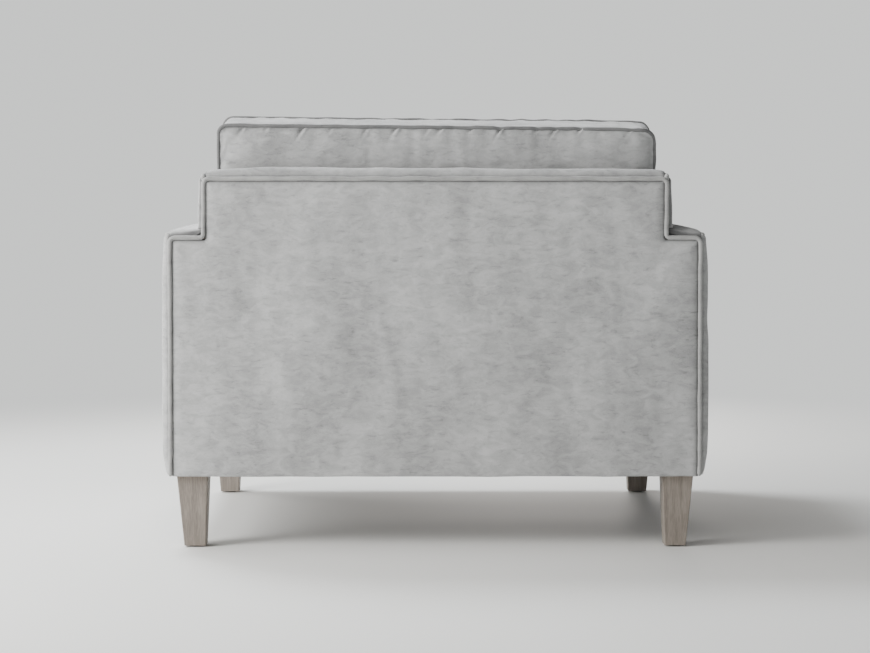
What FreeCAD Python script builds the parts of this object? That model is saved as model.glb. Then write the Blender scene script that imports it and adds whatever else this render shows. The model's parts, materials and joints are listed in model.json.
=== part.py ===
"""Upholstered wide armchair, built as its maker builds it: a hardwood and board frame on four
screw-in legs, zigzag seat springs, back webbing, foam, cloth covers piped along every seam, and a
loose zipped seat cushion and back cushion.

Millimetres. +Z is up, the floor is Z = 0, the sitter faces -Y and the sitter's left is +X. The
origin is on the floor under the middle of the chair.
"""

import FreeCAD
import Part
import math
import os

V = FreeCAD.Vector
X_AXIS, Y_AXIS, Z_AXIS = V(1, 0, 0), V(0, 1, 0), V(0, 0, 1)

# ---- driving sizes -------------------------------------------------------------------------
overall_width = 1090.0
overall_depth = 880.0
underside_z = 145.0  # lowest edge of the covers
arm_top_z = 639.0
arm_width = 85.0
back_top_z = 756.0
back_top_depth = 85.0  # front to back, at the top of the back
recline_deg = 8.0
deck_z = 296.0  # top of the deck cloth, which the seat cushion lies on
seat_cushion_thickness = 156.0
back_cushion_thickness = 150.0
back_cushion_length = 393.0  # up the slope of its rear panel
cushion_side_gap = 16.0  # back cushion to arm

# ---- cloth, welts and clearances -----------------------------------------------------------
cloth = 1.5
ease = 0.3  # between two soft layers
welt_radius = 5.0
welt_gap = 0.2  # between a welt and the cloth it is sewn to
roll = 18.0  # radius of the padded roll outside a welt
inner_roll = 12.0  # the same, on an arm's inner edges
welt_corner = 10.0  # radius of a welt's own turn at an outer corner
welt_notch = 7.0  # and in the notch above an arm

# ---- frame timber and boards ---------------------------------------------------------------
rail = 28.0  # thickness of the seat rails
post = 30.0  # thickness of the back posts
rail_inset = 5.0  # an arm's inner face to its side rail
post_depth = 75.0
sill_height = 28.0
board = 3.0
rail_drop = 34.0  # rail top to deck top
arm_top_pad = 29.0
border_pad = 20.0
back_pad = 30.0
arm_rail_height = 28.0
tack_rail_height = 40.0
stretcher_height = 50.0
stretcher_x = 151.0
block_leg = 80.0  # short sides of a triangular corner block
block_height = 45.0

# ---- legs and their fixings ----------------------------------------------------------------
leg_top = 62.0
leg_taper_outer = 13.0
leg_taper_inner = 6.0
leg_inset = 11.0  # welt line to leg
leg_edge = 2.5
dust_cloth = 1.0
glide_height = 3.0
glide_radius = 14.0
glide_pin_radius = 2.5
glide_pin_length = 15.0
bolt_radius = 4.0
hole_gap = 0.2  # round a bolt or pin
hanger_in_leg = 50.0
nut_barrel_radius = 5.5
nut_flange_radius = 11.0
nut_flange = 1.5
nut_depth = 12.0
bolt_head_radius = 6.5
bolt_head = 5.3
frame_bolt_heights = (98.0, 55.0)  # above the underside

# ---- springs and webbing -------------------------------------------------------------------
spring_count = 8
wire_radius = 1.9
spring_half_width = 25.0
spring_bend = 11.0  # radius of each turn of the wire
spring_lift = 4.5  # rail top to wire centre
clip_plate = 1.2
clip_width = 20.0
web_count = 5
web_width = 50.0
web_thickness = 1.5

# ---- cushions and zips ---------------------------------------------------------------------
seat_side_gap = 3.0
seat_front_gap = 2.0
seat_rear_gap = 3.0
cushion_corner = 28.0
welt_proud = 4.0  # how far a cushion's welts stand out from it
rest_gap = 0.4  # cushion to what it lies on
zip_inset = 30.0  # cushion side to the end of its zip
groove_width = 32.0
groove_depth = 6.5
tape_width = 26.0
tape = 1.0
coil_width = 4.0
coil_height = 1.8
slider_length = 13.0
slider_width = 9.0
slider_wall = 1.2
slider_gap = 0.2

# ---- places worked out from the sizes ------------------------------------------------------
half_width = overall_width / 2
welt_y = overall_depth / 2 - welt_radius
body_y = welt_y - welt_radius - welt_gap
panel_x = half_width - roll
panel_arm_z = arm_top_z - roll
panel_top_z = back_top_z - roll
arm_inner_x = half_width - arm_width
back_half = arm_inner_x - ease
timber_z = underside_z + dust_cloth
sill_outer_x = panel_x - leg_inset
sill_inner_x = sill_outer_x - leg_top
side_rail_x = arm_inner_x - rail_inset
arm_post_x = side_rail_x + rail
back_post_x = side_rail_x - post
sill_top_z = timber_z + sill_height
rail_top_z = deck_z - rail_drop
arm_frame_z = arm_top_z - arm_top_pad - cloth - ease
slope = math.tan(math.radians(recline_deg))
front_rail_y = -(body_y - border_pad)
sill_front_y = -(body_y - inner_roll - cloth - ease)
spring_z = rail_top_z + spring_lift
clip_eye = spring_lift - clip_plate / 2
pad_bottom_z = spring_z + clip_eye + ease
back_front_z = deck_z - rail_drop / 2  # lowest edge of the inside back's cover
leg_outer_y = welt_y - leg_inset
leg_x = sill_outer_x - leg_top / 2
leg_y = leg_outer_y - leg_top / 2
leg_head_z = timber_z - dust_cloth
seat_top_z = deck_z + rest_gap + seat_cushion_thickness


def inside_y(z):
    """Where the front face of the inside back is, at height z."""
    return body_y - back_top_depth - (back_top_z - z) * slope


def timber_y(z):
    """Where the front face of the back frame is, at height z."""
    return inside_y(z) + cloth + ease + back_pad + web_thickness + ease


rear_rail_y = inside_y(rail_top_z) + back_pad / 2

# ---- shape helpers -------------------------------------------------------------------------


def box(x0, x1, y0, y1, z0, z1):
    return Part.makeBox(x1 - x0, y1 - y0, z1 - z0, V(x0, y0, z0))


def cylinder(radius, length, start, direction):
    return Part.makeCylinder(radius, length, start, direction)


def mirrored(shape):
    """The same piece on the other side of the chair."""
    return shape.mirror(V(0, 0, 0), X_AXIS)


def pair(shape):
    return [shape, mirrored(shape)]


def extruded(points, x0, x1):
    """A solid along X from a closed outline of (y, z) points."""
    outline = Part.makePolygon([V(x0, y, z) for y, z in points] + [V(x0, *points[0])])
    return Part.Face(outline).extrude(V(x1 - x0, 0, 0))


def filleted(shape, radius, wanted):
    """Rounds the edges for which wanted(middle of the edge, its direction) is true."""
    edges = []
    for edge in shape.Edges:
        first, last = edge.Vertexes[0].Point, edge.Vertexes[-1].Point
        direction = last - first
        if direction.Length > 1e-6 and wanted((first + last) * 0.5, direction.normalize()):
            edges.append(edge)
    return shape.makeFillet(radius, edges)


def along(direction, axis):
    return abs(direction.dot(axis)) > 0.999


def near(a, b):
    return abs(a - b) < 0.01


def rounded_path(points, radii, closed=False):
    """A wire of straight runs and tangent arcs through points, with a radius at each."""
    count = len(points)
    runs, arcs = [], []
    for i, point in enumerate(points):
        inner = closed or 0 < i < count - 1
        if not inner or radii[i] == 0:
            arcs.append((point, None, point))
            continue
        way_in = (point - points[i - 1]).normalize()
        way_out = (points[(i + 1) % count] - point).normalize()
        turn = way_in.getAngle(way_out)
        reach = radii[i] * math.tan(turn / 2)
        inward = (way_out - way_in).normalize()
        middle = point + inward * (radii[i] / math.cos(turn / 2) - radii[i])
        arcs.append((point - way_in * reach, middle, point + way_out * reach))
    for i in range(count if closed else count - 1):
        start, end = arcs[i][2], arcs[(i + 1) % count][0]
        if start.distanceToPoint(end) > 1e-6:
            runs.append(Part.LineSegment(start, end).toShape())
        following = arcs[(i + 1) % count]
        if following[1] is not None:
            runs.append(Part.Arc(*following).toShape())
    return Part.Wire(Part.__sortEdges__(runs))


def tube(path, radius):
    """A round cord along a path, checked against its section times its length."""
    first = path.OrderedEdges[0]
    start = path.OrderedVertexes[0].Point
    at = first.FirstParameter
    if first.valueAt(at).distanceToPoint(start) > 1e-4:
        at = first.LastParameter
    section = Part.Wire(Part.makeCircle(radius, start, first.tangentAt(at)))
    solid = path.makePipeShell([section], True, False)
    expected = math.pi * radius * radius * path.Length
    if not solid.isValid() or abs(solid.Volume / expected - 1) > 0.01:
        raise ValueError("a tube came out wrong")
    return solid


def save(name, *shapes):
    solids = [solid for shape in shapes for solid in shape.Solids]
    whole = solids[0] if len(solids) == 1 else Part.makeCompound(solids)
    if not solids or not whole.isValid():
        raise ValueError(name + " is not a valid solid")
    whole.exportStep(os.path.join("parts", name + ".step"))


def save_sides(name, shape):
    save(name + "_left", shape)
    save(name + "_right", mirrored(shape))


# ---- frame ---------------------------------------------------------------------------------


def frame_bolt_places():
    """(X where the head seats, Y, Z) of the left side's frame bolts."""
    front_y = -(body_y - post_depth) - 2 * bolt_head_radius
    rear_y = body_y - post_depth / 2
    high, low = [underside_z + height for height in frame_bolt_heights]
    return [(side_rail_x, front_y, high), (back_post_x, rear_y, high), (back_post_x, rear_y, low)]


def frame_bolt_end():
    return sill_outer_x - bolt_radius


def bolt_holes():
    reach = frame_bolt_end() + hole_gap
    holes = [
        cylinder(bolt_radius + hole_gap, reach - x, V(x, y, z), X_AXIS)
        for x, y, z in frame_bolt_places()
    ]
    return Part.makeCompound(holes)


def seat_rails():
    inside = back_post_x
    save(
        "front_seat_rail",
        box(-side_rail_x, side_rail_x, front_rail_y, front_rail_y + rail, timber_z, rail_top_z)
        .cut(Part.makeCompound(pair(sill_envelope()))),
    )
    save(
        "rear_seat_rail",
        box(-inside, inside, rear_rail_y, rear_rail_y + rail, timber_z, rail_top_z),
    )
    side = box(side_rail_x, arm_post_x, sill_front_y, body_y, sill_top_z, rail_top_z)
    save("side_seat_rails", *pair(side.cut(bolt_holes())))
    stretcher = box(
        stretcher_x - rail / 2,
        stretcher_x + rail / 2,
        front_rail_y + rail,
        rear_rail_y,
        timber_z,
        timber_z + stretcher_height,
    )
    save("seat_stretchers", *pair(stretcher))


def corner_blocks():
    """Triangular blocks glued in the four inner corners of the seat frame."""
    blocks = []
    for y, way in ((front_rail_y + rail, 1), (rear_rail_y, -1)):
        corner = V(side_rail_x, y, sill_top_z)
        points = [corner, corner - V(block_leg, 0, 0), corner + V(0, way * block_leg, 0), corner]
        block = Part.Face(Part.makePolygon(points)).extrude(V(0, 0, block_height))
        blocks += pair(block)
    save("corner_blocks", *blocks)


def sill_envelope():
    return box(sill_inner_x, sill_outer_x, sill_front_y, body_y, timber_z, sill_top_z)


def arm_frame():
    """The left and right arm frames: a sill that the legs screw into, posts and rails."""
    sill = sill_envelope()
    for y in (-leg_y, leg_y):
        base, nut_base = V(leg_x, y, timber_z), V(leg_x, y, sill_top_z - nut_depth)
        sill = sill.cut(cylinder(bolt_radius + hole_gap, sill_height, base, Z_AXIS))
        sill = sill.cut(cylinder(nut_barrel_radius + hole_gap, nut_depth, nut_base, Z_AXIS))
        seat = V(leg_x, y, sill_top_z - nut_flange)
        sill = sill.cut(cylinder(nut_flange_radius + hole_gap, nut_flange, seat, Z_AXIS))
    save("arm_sills", *pair(sill))

    under_rail = arm_frame_z - arm_rail_height
    front_end, rear_end = -(body_y - post_depth), body_y - post_depth
    front = box(arm_post_x, sill_outer_x, -body_y, front_end, sill_top_z, under_rail)
    rear = box(arm_post_x, sill_outer_x, rear_end, body_y, sill_top_z, under_rail)
    save("arm_front_posts", *pair(front.cut(bolt_holes())))
    save("arm_rear_posts", *pair(rear.cut(bolt_holes())))
    top = box(arm_post_x, sill_outer_x, -body_y, body_y, under_rail, arm_frame_z)
    save("arm_top_rails", *pair(top))
    tack = box(
        arm_post_x,
        sill_outer_x,
        front_end,
        rear_end,
        deck_z - tack_rail_height / 2,
        deck_z + tack_rail_height / 2,
    )
    save("arm_tack_rails", *pair(tack))
    panel = box(
        sill_outer_x, sill_outer_x + board, -body_y, body_y, sill_top_z, arm_frame_z
    )
    save("arm_boards", *pair(panel))


def back_frame():
    """The back frame: tapered posts, and three rails between them."""
    top = back_top_z - back_pad
    outline = [
        (timber_y(timber_z), timber_z),
        (timber_y(top), top),
        (body_y, top),
        (body_y, timber_z),
    ]
    posts = extruded(outline, back_post_x, side_rail_x)
    sills = Part.makeCompound(pair(sill_envelope()))
    save("back_posts", *pair(posts.cut(bolt_holes()).cut(sills)))

    lean = extruded(outline, -back_post_x, back_post_x)
    top_rail = box(-back_post_x, back_post_x, 0, body_y, top - rail, top)
    save("back_top_rail", lean.common(top_rail))
    tack_z = deck_z + tack_rail_height
    tack = box(-back_post_x, back_post_x, 0, body_y - rail, tack_z, tack_z + tack_rail_height)
    save("back_tack_rail", lean.common(tack).common(slab_behind_front(rail)))
    bottom = box(
        -back_post_x, back_post_x, body_y - rail, body_y, timber_z, timber_z + 2 * stretcher_height
    )
    save("back_bottom_rail", bottom)


def slab_behind_front(thickness):
    """The leaning slab of this thickness whose front is the front of the back frame."""
    top, low = back_top_z, timber_z
    points = [
        (timber_y(low), low),
        (timber_y(top), top),
        (timber_y(top) + thickness, top),
        (timber_y(low) + thickness, low),
    ]
    return extruded(points, -half_width, half_width)


def frame_bolts():
    bolts = []
    for x, y, z in frame_bolt_places():
        shank = cylinder(bolt_radius, frame_bolt_end() - x, V(x, y, z), X_AXIS)
        turns = [math.radians(60 * i) for i in range(7)]
        spokes = [V(0, math.cos(turn), math.sin(turn)) * bolt_head_radius for turn in turns]
        outline = Part.makePolygon([V(x, y, z) + spoke for spoke in spokes])
        head = Part.Face(outline).extrude(V(-bolt_head, 0, 0))
        bolts += pair(shank.fuse(head).removeSplitter())
    save("frame_bolts", *bolts)


# ---- springs and webbing -------------------------------------------------------------------


def spring_places():
    pitch = 2 * side_rail_x / (spring_count + 0.5)
    return [(i - (spring_count - 1) / 2) * pitch for i in range(spring_count)]


def spring_ends():
    return front_rail_y + rail / 2, rear_rail_y + rail / 2


def seat_springs():
    """Zigzag springs from the front rail to the rear rail, each end held in a clip."""
    start_y, end_y = spring_ends()
    steps = 2 * round((end_y - start_y) / (4 * spring_bend))
    pitch = (end_y - start_y) / steps
    points, radii = [V(-spring_half_width, start_y, spring_z)], [0]
    for i in range(steps):
        x = spring_half_width * (1 if i % 2 == 0 else -1)
        y = start_y + i * pitch
        points += [V(x, y, spring_z), V(x, y + pitch, spring_z)]
        radii += [pitch / 2 - 0.01] * 2
    points.append(V(-points[-1].x, end_y, spring_z))
    radii.append(0)
    one = tube(rounded_path(points, radii), wire_radius)
    save("seat_springs", *[one.translated(V(x, 0, 0)) for x in spring_places()])


def spring_clips():
    """A nailed plate with a rolled eye round the last bar of each spring."""
    clips = []
    for y in spring_ends():
        half, reach = clip_width / 2, rail / 3
        plate = box(-half, half, y - reach, y + reach, rail_top_z, rail_top_z + clip_plate)
        start = V(-half, y, spring_z)
        eye = cylinder(clip_eye, clip_width, start, X_AXIS)
        bore = cylinder(wire_radius + hole_gap, clip_width, start, X_AXIS)
        clip = plate.fuse(eye).cut(bore).removeSplitter()
        clips += [clip.translated(V(x, 0, 0)) for x in spring_places()]
    save("spring_clips", *clips)


def back_webbing():
    """Elastic straps across the front of the back frame, under the foam."""
    low = deck_z + tack_rail_height * 2 + web_width
    high = back_top_z - back_pad - web_width
    straps = []
    for i in range(web_count):
        middle = low + (high - low) * i / (web_count - 1)
        z0, z1 = middle - web_width / 2, middle + web_width / 2
        points = [
            (timber_y(z0) - web_thickness, z0),
            (timber_y(z1) - web_thickness, z1),
            (timber_y(z1), z1),
            (timber_y(z0), z0),
        ]
        straps.append(extruded(points, -(side_rail_x - post / 4), side_rail_x - post / 4))
    save("back_webbing", *straps)


# ---- foam and covers -----------------------------------------------------------------------


def arm_body(inset):
    """The left arm's outer form, taken in by inset on every side but the bottom."""
    form = box(
        arm_inner_x + inset, half_width - inset, -body_y + inset, body_y - inset,
        underside_z - roll, arm_top_z - inset,
    )
    outer_x, inner_x, top = half_width - inset, arm_inner_x + inset, arm_top_z - inset

    def outer_edge(middle, direction):
        if along(direction, Z_AXIS):
            return near(middle.x, outer_x)
        if along(direction, X_AXIS):
            return near(middle.z, top)
        return near(middle.z, top) and near(middle.x, outer_x)

    def inner_edge(middle, direction):
        if along(direction, Z_AXIS):
            return near(middle.x, inner_x) and middle.y < 0
        return along(direction, Y_AXIS) and near(middle.z, top) and near(middle.x, inner_x)

    form = filleted(form, roll - inset, outer_edge)
    return filleted(form, inner_roll - inset, inner_edge)


def arm_welt_path():
    """Along the arm's outer top edge, turning in at both ends towards the panels' welts."""
    lean = roll / math.sqrt(2)
    x, z = panel_x + lean, panel_arm_z + lean
    turn = math.radians(50)
    inward, onward = roll * (1 - math.cos(turn)), roll * math.sin(turn)
    half = roll * (1 - math.cos(turn / 2)), roll * math.sin(turn / 2)
    edges = []
    straight = body_y - roll

    def at(y_sign, taken_in, further):
        step = taken_in / math.sqrt(2)
        return V(x - step, y_sign * (straight + further), z - step)

    for sign in (-1, 1):
        ends = at(sign, 0, 0), at(sign, *half), at(sign, inward, onward)
        edges.append(Part.Arc(*ends).toShape())
    edges.append(Part.LineSegment(at(-1, 0, 0), at(1, 0, 0)).toShape())
    return Part.Wire(Part.__sortEdges__(edges))


def arm_envelope():
    """What the arm's frame and board fill, with ease round it."""
    inner = box(
        arm_post_x - ease, sill_outer_x + board + ease, -half_width, half_width,
        0, arm_frame_z + ease,
    )
    rails = box(0, arm_post_x, -half_width, half_width, 0, rail_top_z + ease)
    return inner.fuse(rails)


def outer_side_of_seam(shape):
    """(outer part, inner part) of a left arm piece, parted along its outer top welt."""
    reach = overall_width
    corners = [
        (panel_x, panel_arm_z),
        (panel_x + reach, panel_arm_z + reach),
        (panel_x + reach, -reach),
        (panel_x, -reach),
    ]
    points = [V(x, -reach, z) for x, z in [*corners, corners[0]]]
    outer = Part.Face(Part.makePolygon(points)).extrude(V(0, 2 * reach, 0))
    return shape.common(outer), shape.cut(outer)


def arm_softs():
    """Foam, covers, facings and welts of the arms."""
    path = arm_welt_path()
    room = tube(path, welt_radius + welt_gap)
    above = box(0, overall_width, -half_width, half_width, underside_z, back_top_z)
    inner, skin = arm_inner_x + inner_roll, body_y - cloth
    front_window = box(inner, panel_x, -half_width, -skin, 0, panel_arm_z)
    rear_window = box(0, panel_x, skin, half_width, 0, panel_arm_z)
    shell = arm_body(0).cut(arm_body(cloth)).common(above).cut(front_window.fuse(rear_window))
    outside, inside = outer_side_of_seam(shell.cut(room))
    low_rails = box(0, arm_post_x, sill_front_y - ease, half_width, 0, rail_top_z + ease)
    save_sides("outside_arm_cover", outside)
    save_sides("inside_arm_cover", inside.cut(low_rails))

    body = arm_body(cloth + ease).common(
        box(0, overall_width, -half_width, half_width, timber_z, back_top_z)
    )
    foam = body.cut(arm_envelope()).cut(tube(path, welt_radius + 2 * welt_gap))
    save("arm_foam", *pair(max(foam.Solids, key=lambda solid: solid.Volume)))
    welt = tube(path, welt_radius)
    save("arm_outer_welts", *pair(welt))


def arm_fronts():
    """The piped facing that closes the front of each arm."""
    inner, outer = arm_inner_x + inner_roll, panel_x
    points = [
        V(inner, -welt_y, underside_z),
        V(inner, -welt_y, panel_arm_z),
        V(outer, -welt_y, panel_arm_z),
        V(outer, -welt_y, underside_z),
    ]
    path = rounded_path(points, [0, welt_corner, welt_corner, 0])
    save_sides("arm_front_welt", tube(path, welt_radius))
    reach = welt_radius + welt_gap
    facing = box(
        inner + reach, outer - reach, -welt_y, -body_y, underside_z, panel_arm_z - reach
    )
    top_edges = lambda middle, direction: along(direction, Y_AXIS) and middle.z > deck_z
    save_sides("arm_front_facing", filleted(facing, welt_corner - reach / 2, top_edges))


def back_outline(inset):
    """(x, z) corners of the outside back, taken in by inset: a wide base and a narrower top."""
    base, neck = panel_x - inset, arm_inner_x - inset
    shoulder, top = panel_arm_z - inset, panel_top_z - inset
    right = [(base, underside_z), (base, shoulder), (neck, shoulder), (neck, top)]
    return right + [(-x, z) for x, z in reversed(right)]


def outside_back():
    """The board, cover and welt that close the back."""
    radii = [0, welt_corner, welt_notch, welt_corner, welt_corner, welt_notch, welt_corner, 0]
    points = [V(x, welt_y, z) for x, z in back_outline(0)]
    save("back_welt", tube(rounded_path(points, radii), welt_radius))

    outline = [V(x, body_y, z) for x, z in back_outline(welt_radius + welt_gap)]
    round_corner = welt_corner - welt_radius
    trimmed = [0, round_corner, 0, round_corner, round_corner, 0, round_corner, 0]
    face = Part.Face(rounded_path(outline, trimmed, closed=True))
    panel = face.extrude(V(0, board, 0))
    timber = box(-half_width, half_width, 0, overall_depth, timber_z, back_top_z)
    save("back_board", panel.common(timber))
    save("outside_back_cover", face.extrude(V(0, cloth, 0)).translated(V(0, board, 0)))


def back_section(inset, low, rear_inset=None):
    """(y, z) outline of the padded back, from the foot of its front over its top to the rear."""
    top, rear = back_top_z - inset, body_y - (inset if rear_inset is None else rear_inset)
    lean = inset / math.cos(math.radians(recline_deg))
    return [(inside_y(low) + lean, low), (inside_y(top) + lean, top), (rear, top), (rear, low)]


def back_body(inset, low, half):
    """The padded back between X = -half and half, with its top edges rolled."""
    form = extruded(back_section(inset, low), -half, half)
    top = back_top_z - inset
    is_top = lambda middle, direction: along(direction, X_AXIS) and near(middle.z, top)
    return filleted(form, roll - inset, is_top)


def inside_back():
    """Foam and cover of the inside back, which roll over the top to the rear welt."""
    shell = back_body(0, back_front_z, back_half).cut(back_body(cloth, 0, overall_width))
    half = half_width
    rear = box(-half, half, body_y - cloth, overall_depth, 0, panel_top_z)
    save("inside_back_cover", shell.cut(rear))

    body = back_body(cloth + ease, back_front_z, back_half - ease)
    behind = box(-half, half, body_y - cloth, overall_depth, 0, back_top_z)
    timber_top = back_top_z - back_pad
    frame = extruded(
        [
            (timber_y(0) - web_thickness - ease, 0),
            (timber_y(timber_top + ease) - web_thickness - ease, timber_top + ease),
            (overall_depth, timber_top + ease),
            (overall_depth, 0),
        ],
        -half_width,
        half_width,
    )
    save("back_foam", body.cut(frame).cut(behind))


def back_gussets():
    """The padded side strips of the back above the arms, piped round their outer edge."""
    low = arm_top_z + ease
    inner = back_half + ease
    inset = 2 * welt_radius + welt_gap
    top = back_top_z - inset
    strip = extruded(back_section(inset, low, 0), inner, inner + roll / 2)
    is_top = lambda middle, direction: along(direction, X_AXIS) and near(middle.z, top)
    save("back_gussets", *pair(filleted(strip, roll - inset, is_top)))

    x = inner + welt_radius
    points = [V(x, y, z) for y, z in back_section(welt_radius, low + welt_radius)[:3]]
    points[-1] = V(x, body_y - roll + inset, points[-1].z)
    welt = tube(rounded_path(points, [0, roll - welt_radius - ease, 0]), welt_radius)
    save("back_gusset_welts", *pair(welt))


def seat_border(inset, low):
    """The form of the seat between the arms: its deck, rolling over into its front."""
    end = inside_y(back_front_z) - ease
    half = back_half - max(0, inset - cloth)
    front, top = -body_y + inset, deck_z - inset
    form = box(-half, half, front, end, low, top)
    front_top = lambda middle, direction: near(middle.y, front) and near(middle.z, top)
    return filleted(form, roll - inset, front_top)


def seat_platform():
    """Foam and cloth over the front rail and the springs, and the dust cloth below."""
    below = box(-half_width, half_width, -body_y, body_y, 0, underside_z)
    shell = seat_border(0, 0).cut(seat_border(cloth, -roll).fuse(below))
    seam_y = front_rail_y + 3 * rail
    front = box(-half_width, half_width, -overall_depth, seam_y, 0, deck_z)
    save("front_border_cover", shell.common(front))
    save("deck_cover", shell.cut(front))

    save("deck_pad", seat_border(cloth + ease, pad_bottom_z))
    front_half = min(sill_inner_x, side_rail_x) - ease
    pad_front = -body_y + cloth + ease
    pad = box(-front_half, front_half, pad_front, front_rail_y, timber_z, pad_bottom_z - ease)
    save("front_border_foam", pad)

    z0, z1 = leg_head_z, leg_head_z + dust_cloth
    arm = arm_body(cloth + ease).common(box(0, half_width, -body_y, body_y, z0, z1))
    middle = arm_inner_x + inner_roll
    sheet = box(-middle, middle, sill_front_y, body_y, z0, z1).fuse(
        [*pair(arm), box(-back_half, back_half, pad_front, sill_front_y, z0, z1)]
    )
    sheet = sheet.removeSplitter()
    for x in (-leg_x, leg_x):
        for y in (-leg_y, leg_y):
            base = V(x, y, leg_head_z)
            sheet = sheet.cut(cylinder(bolt_radius + hole_gap, dust_cloth, base, Z_AXIS))
    save("dust_cover", sheet)


# ---- cushions ------------------------------------------------------------------------------


def turned(shape, angle, place):
    """A shape built facing up, turned about X and moved to its place."""
    return shape.rotated(V(0, 0, 0), X_AXIS, angle).translated(place)


def zip_groove(length, spread):
    """The pleat that hides a zip, made bigger all round by spread."""
    half, side = length / 2 + spread, groove_width / 2 + spread
    return box(-half, half, -side, side, -spread, groove_depth + 2 * welt_radius)


def zip_tape(length):
    """Both halves of the tape, closed along their coil."""
    web = box(-length / 2, length / 2, -tape_width / 2, tape_width / 2, 0, tape)
    half = length / 2 - slider_wall
    coil = box(-half, half, -coil_width / 2, coil_width / 2, tape, tape + coil_height)
    return web.fuse(coil).removeSplitter()


def zip_slider(length):
    """A slider straddling the coil near the tape's -X end, with a fixed bail and no pull."""
    x = -length / 2 + 2 * slider_length
    low = tape + slider_gap
    roof = tape + coil_height + slider_gap
    x1 = x + slider_length
    body = box(x, x1, -slider_width / 2, slider_width / 2, low, roof + slider_wall)
    side = coil_width / 2 + slider_gap
    body = body.cut(box(x, x1, -side, side, low, roof))
    thick = slider_wall / 2
    z0, z1 = roof + slider_wall, roof + 2.5 * slider_wall
    bail = box(x + slider_wall, x1 - slider_wall, -thick, thick, z0, z1)
    eye = box(x + 2 * slider_wall, x1 - 2 * slider_wall, -thick, thick, z0, z1 - thick)
    return body.fuse(bail.cut(eye)).removeSplitter()


def cushion(name, form, paths, zip_length, angle, place):
    """A piped box cushion; form(inset) gives its shape, paths its welts' centre lines.

    Its zip lies in a pleat whose floor is at place, turned by angle about X.
    """
    rooms = [tube(path, welt_radius + welt_gap) for path in paths]
    slack = [tube(path, welt_radius + 2 * welt_gap) for path in paths]
    inner = form(cloth).cut(turned(zip_groove(zip_length, cloth), angle, place))
    outer = form(0).cut(turned(zip_groove(zip_length, 0), angle, place))
    save(name + "_cover", outer.cut(inner).cut(Part.makeCompound(rooms)))
    core = form(cloth + ease).cut(turned(zip_groove(zip_length, cloth + ease), angle, place))
    save(name + "_core", core.cut(Part.makeCompound(slack)))
    save(name + "_welts", *[tube(path, welt_radius) for path in paths])
    save(name + "_zip_tape", turned(zip_tape(zip_length - 2 * ease), angle, place))
    save(name + "_zip_slider", turned(zip_slider(zip_length), angle, place))


def seat_cushion():
    low = deck_z + rest_gap + welt_proud
    high = seat_top_z - welt_proud
    half = arm_inner_x - seat_side_gap - welt_proud
    front = -(body_y - seat_front_gap - welt_proud)
    rear = inside_y(deck_z) - seat_rear_gap - welt_proud

    def form(inset):
        x, y0, y1 = half - inset, front + inset, rear - inset
        body = box(-x, x, y0, y1, low + inset, high - inset)
        upright = lambda middle, direction: along(direction, Z_AXIS)
        return filleted(body, cushion_corner - inset, upright)

    step = welt_radius - welt_proud
    x, y0, y1 = half - step, front + step, rear - step
    paths = []
    for z in (low + step, high - step):
        points = [V(-x, y0, z), V(x, y0, z), V(x, y1, z), V(-x, y1, z)]
        paths.append(rounded_path(points, [cushion_corner - step] * 4, closed=True))
    floor = V(0, rear - groove_depth, (low + high) / 2)
    cushion("seat_cushion", form, paths, 2 * (half - zip_inset), -90, floor)


def back_cushion():
    angle = math.radians(recline_deg)
    up = V(0, math.sin(angle), math.cos(angle))
    forward = V(0, -math.cos(angle), math.sin(angle))
    low = seat_top_z + rest_gap + welt_proud
    half = arm_inner_x - cushion_side_gap - welt_proud
    foot = V(0, inside_y(low) - welt_proud - seat_rear_gap, low)
    thick = back_cushion_thickness - 2 * welt_proud

    def outline(inset):
        """Corners of the side: foot, top and front top, then the foot of the front."""
        base = low + inset
        rear_foot = V(0, foot.y + inset * slope - inset / math.cos(angle), base)
        top = foot + up * (back_cushion_length - inset) + forward * inset
        front_top = top + forward * (thick - 2 * inset)
        front_foot = V(0, front_top.y - (front_top.z - base) * slope, base)
        return [rear_foot, top, front_top, front_foot]

    def form(inset):
        side = [(p.y, p.z) for p in outline(inset)]
        body = extruded(side, -half + inset, half - inset)
        corner = lambda middle, direction: abs(direction.y) > 0.9
        return filleted(body, cushion_corner - inset, corner)

    step = welt_radius - welt_proud
    rear_foot, top, front_top, front_foot = outline(step)
    x = V(half - step, 0, 0)
    paths = []
    for low_point, high_point in ((rear_foot, top), (front_foot, front_top)):
        points = [low_point - x, low_point + x, high_point + x, high_point - x]
        paths.append(rounded_path(points, [cushion_corner - step] * 4, closed=True))
    floor = V(0, (rear_foot.y + front_foot.y) / 2, low + groove_depth)
    cushion("back_cushion", form, paths, 2 * (half - zip_inset - cushion_corner), 180, floor)


# ---- legs ----------------------------------------------------------------------------------


def leg(y_sign):
    """The left leg at the front (-1) or the rear (+1), tapered mostly on its outer faces."""
    half = leg_top / 2

    def square(z, outer, inner):
        corners = [(outer, outer), (outer, -inner), (-inner, -inner), (-inner, outer)]
        points = [V(leg_x + x, y_sign * (leg_y + y), z) for x, y in corners]
        return Part.makePolygon([*points, points[0]])

    low_square = square(glide_height, half - leg_taper_outer, half - leg_taper_inner)
    body = Part.makeLoft([low_square, square(leg_head_z, half, half)], True, True)
    body = filleted(body, leg_edge, lambda middle, direction: abs(direction.z) > 0.9)
    foot = V(leg_x, y_sign * leg_y, leg_head_z - hanger_in_leg)
    hole = cylinder(bolt_radius + hole_gap, hanger_in_leg, foot, Z_AXIS)
    pin = cylinder(
        glide_pin_radius + hole_gap, glide_pin_length + hole_gap, glide_centre(y_sign), Z_AXIS
    )
    return body.cut(hole.fuse(pin))


def glide_centre(y_sign):
    shift = (leg_taper_outer - leg_taper_inner) / 2
    return V(leg_x - shift, y_sign * (leg_y - shift), glide_height)


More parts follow.
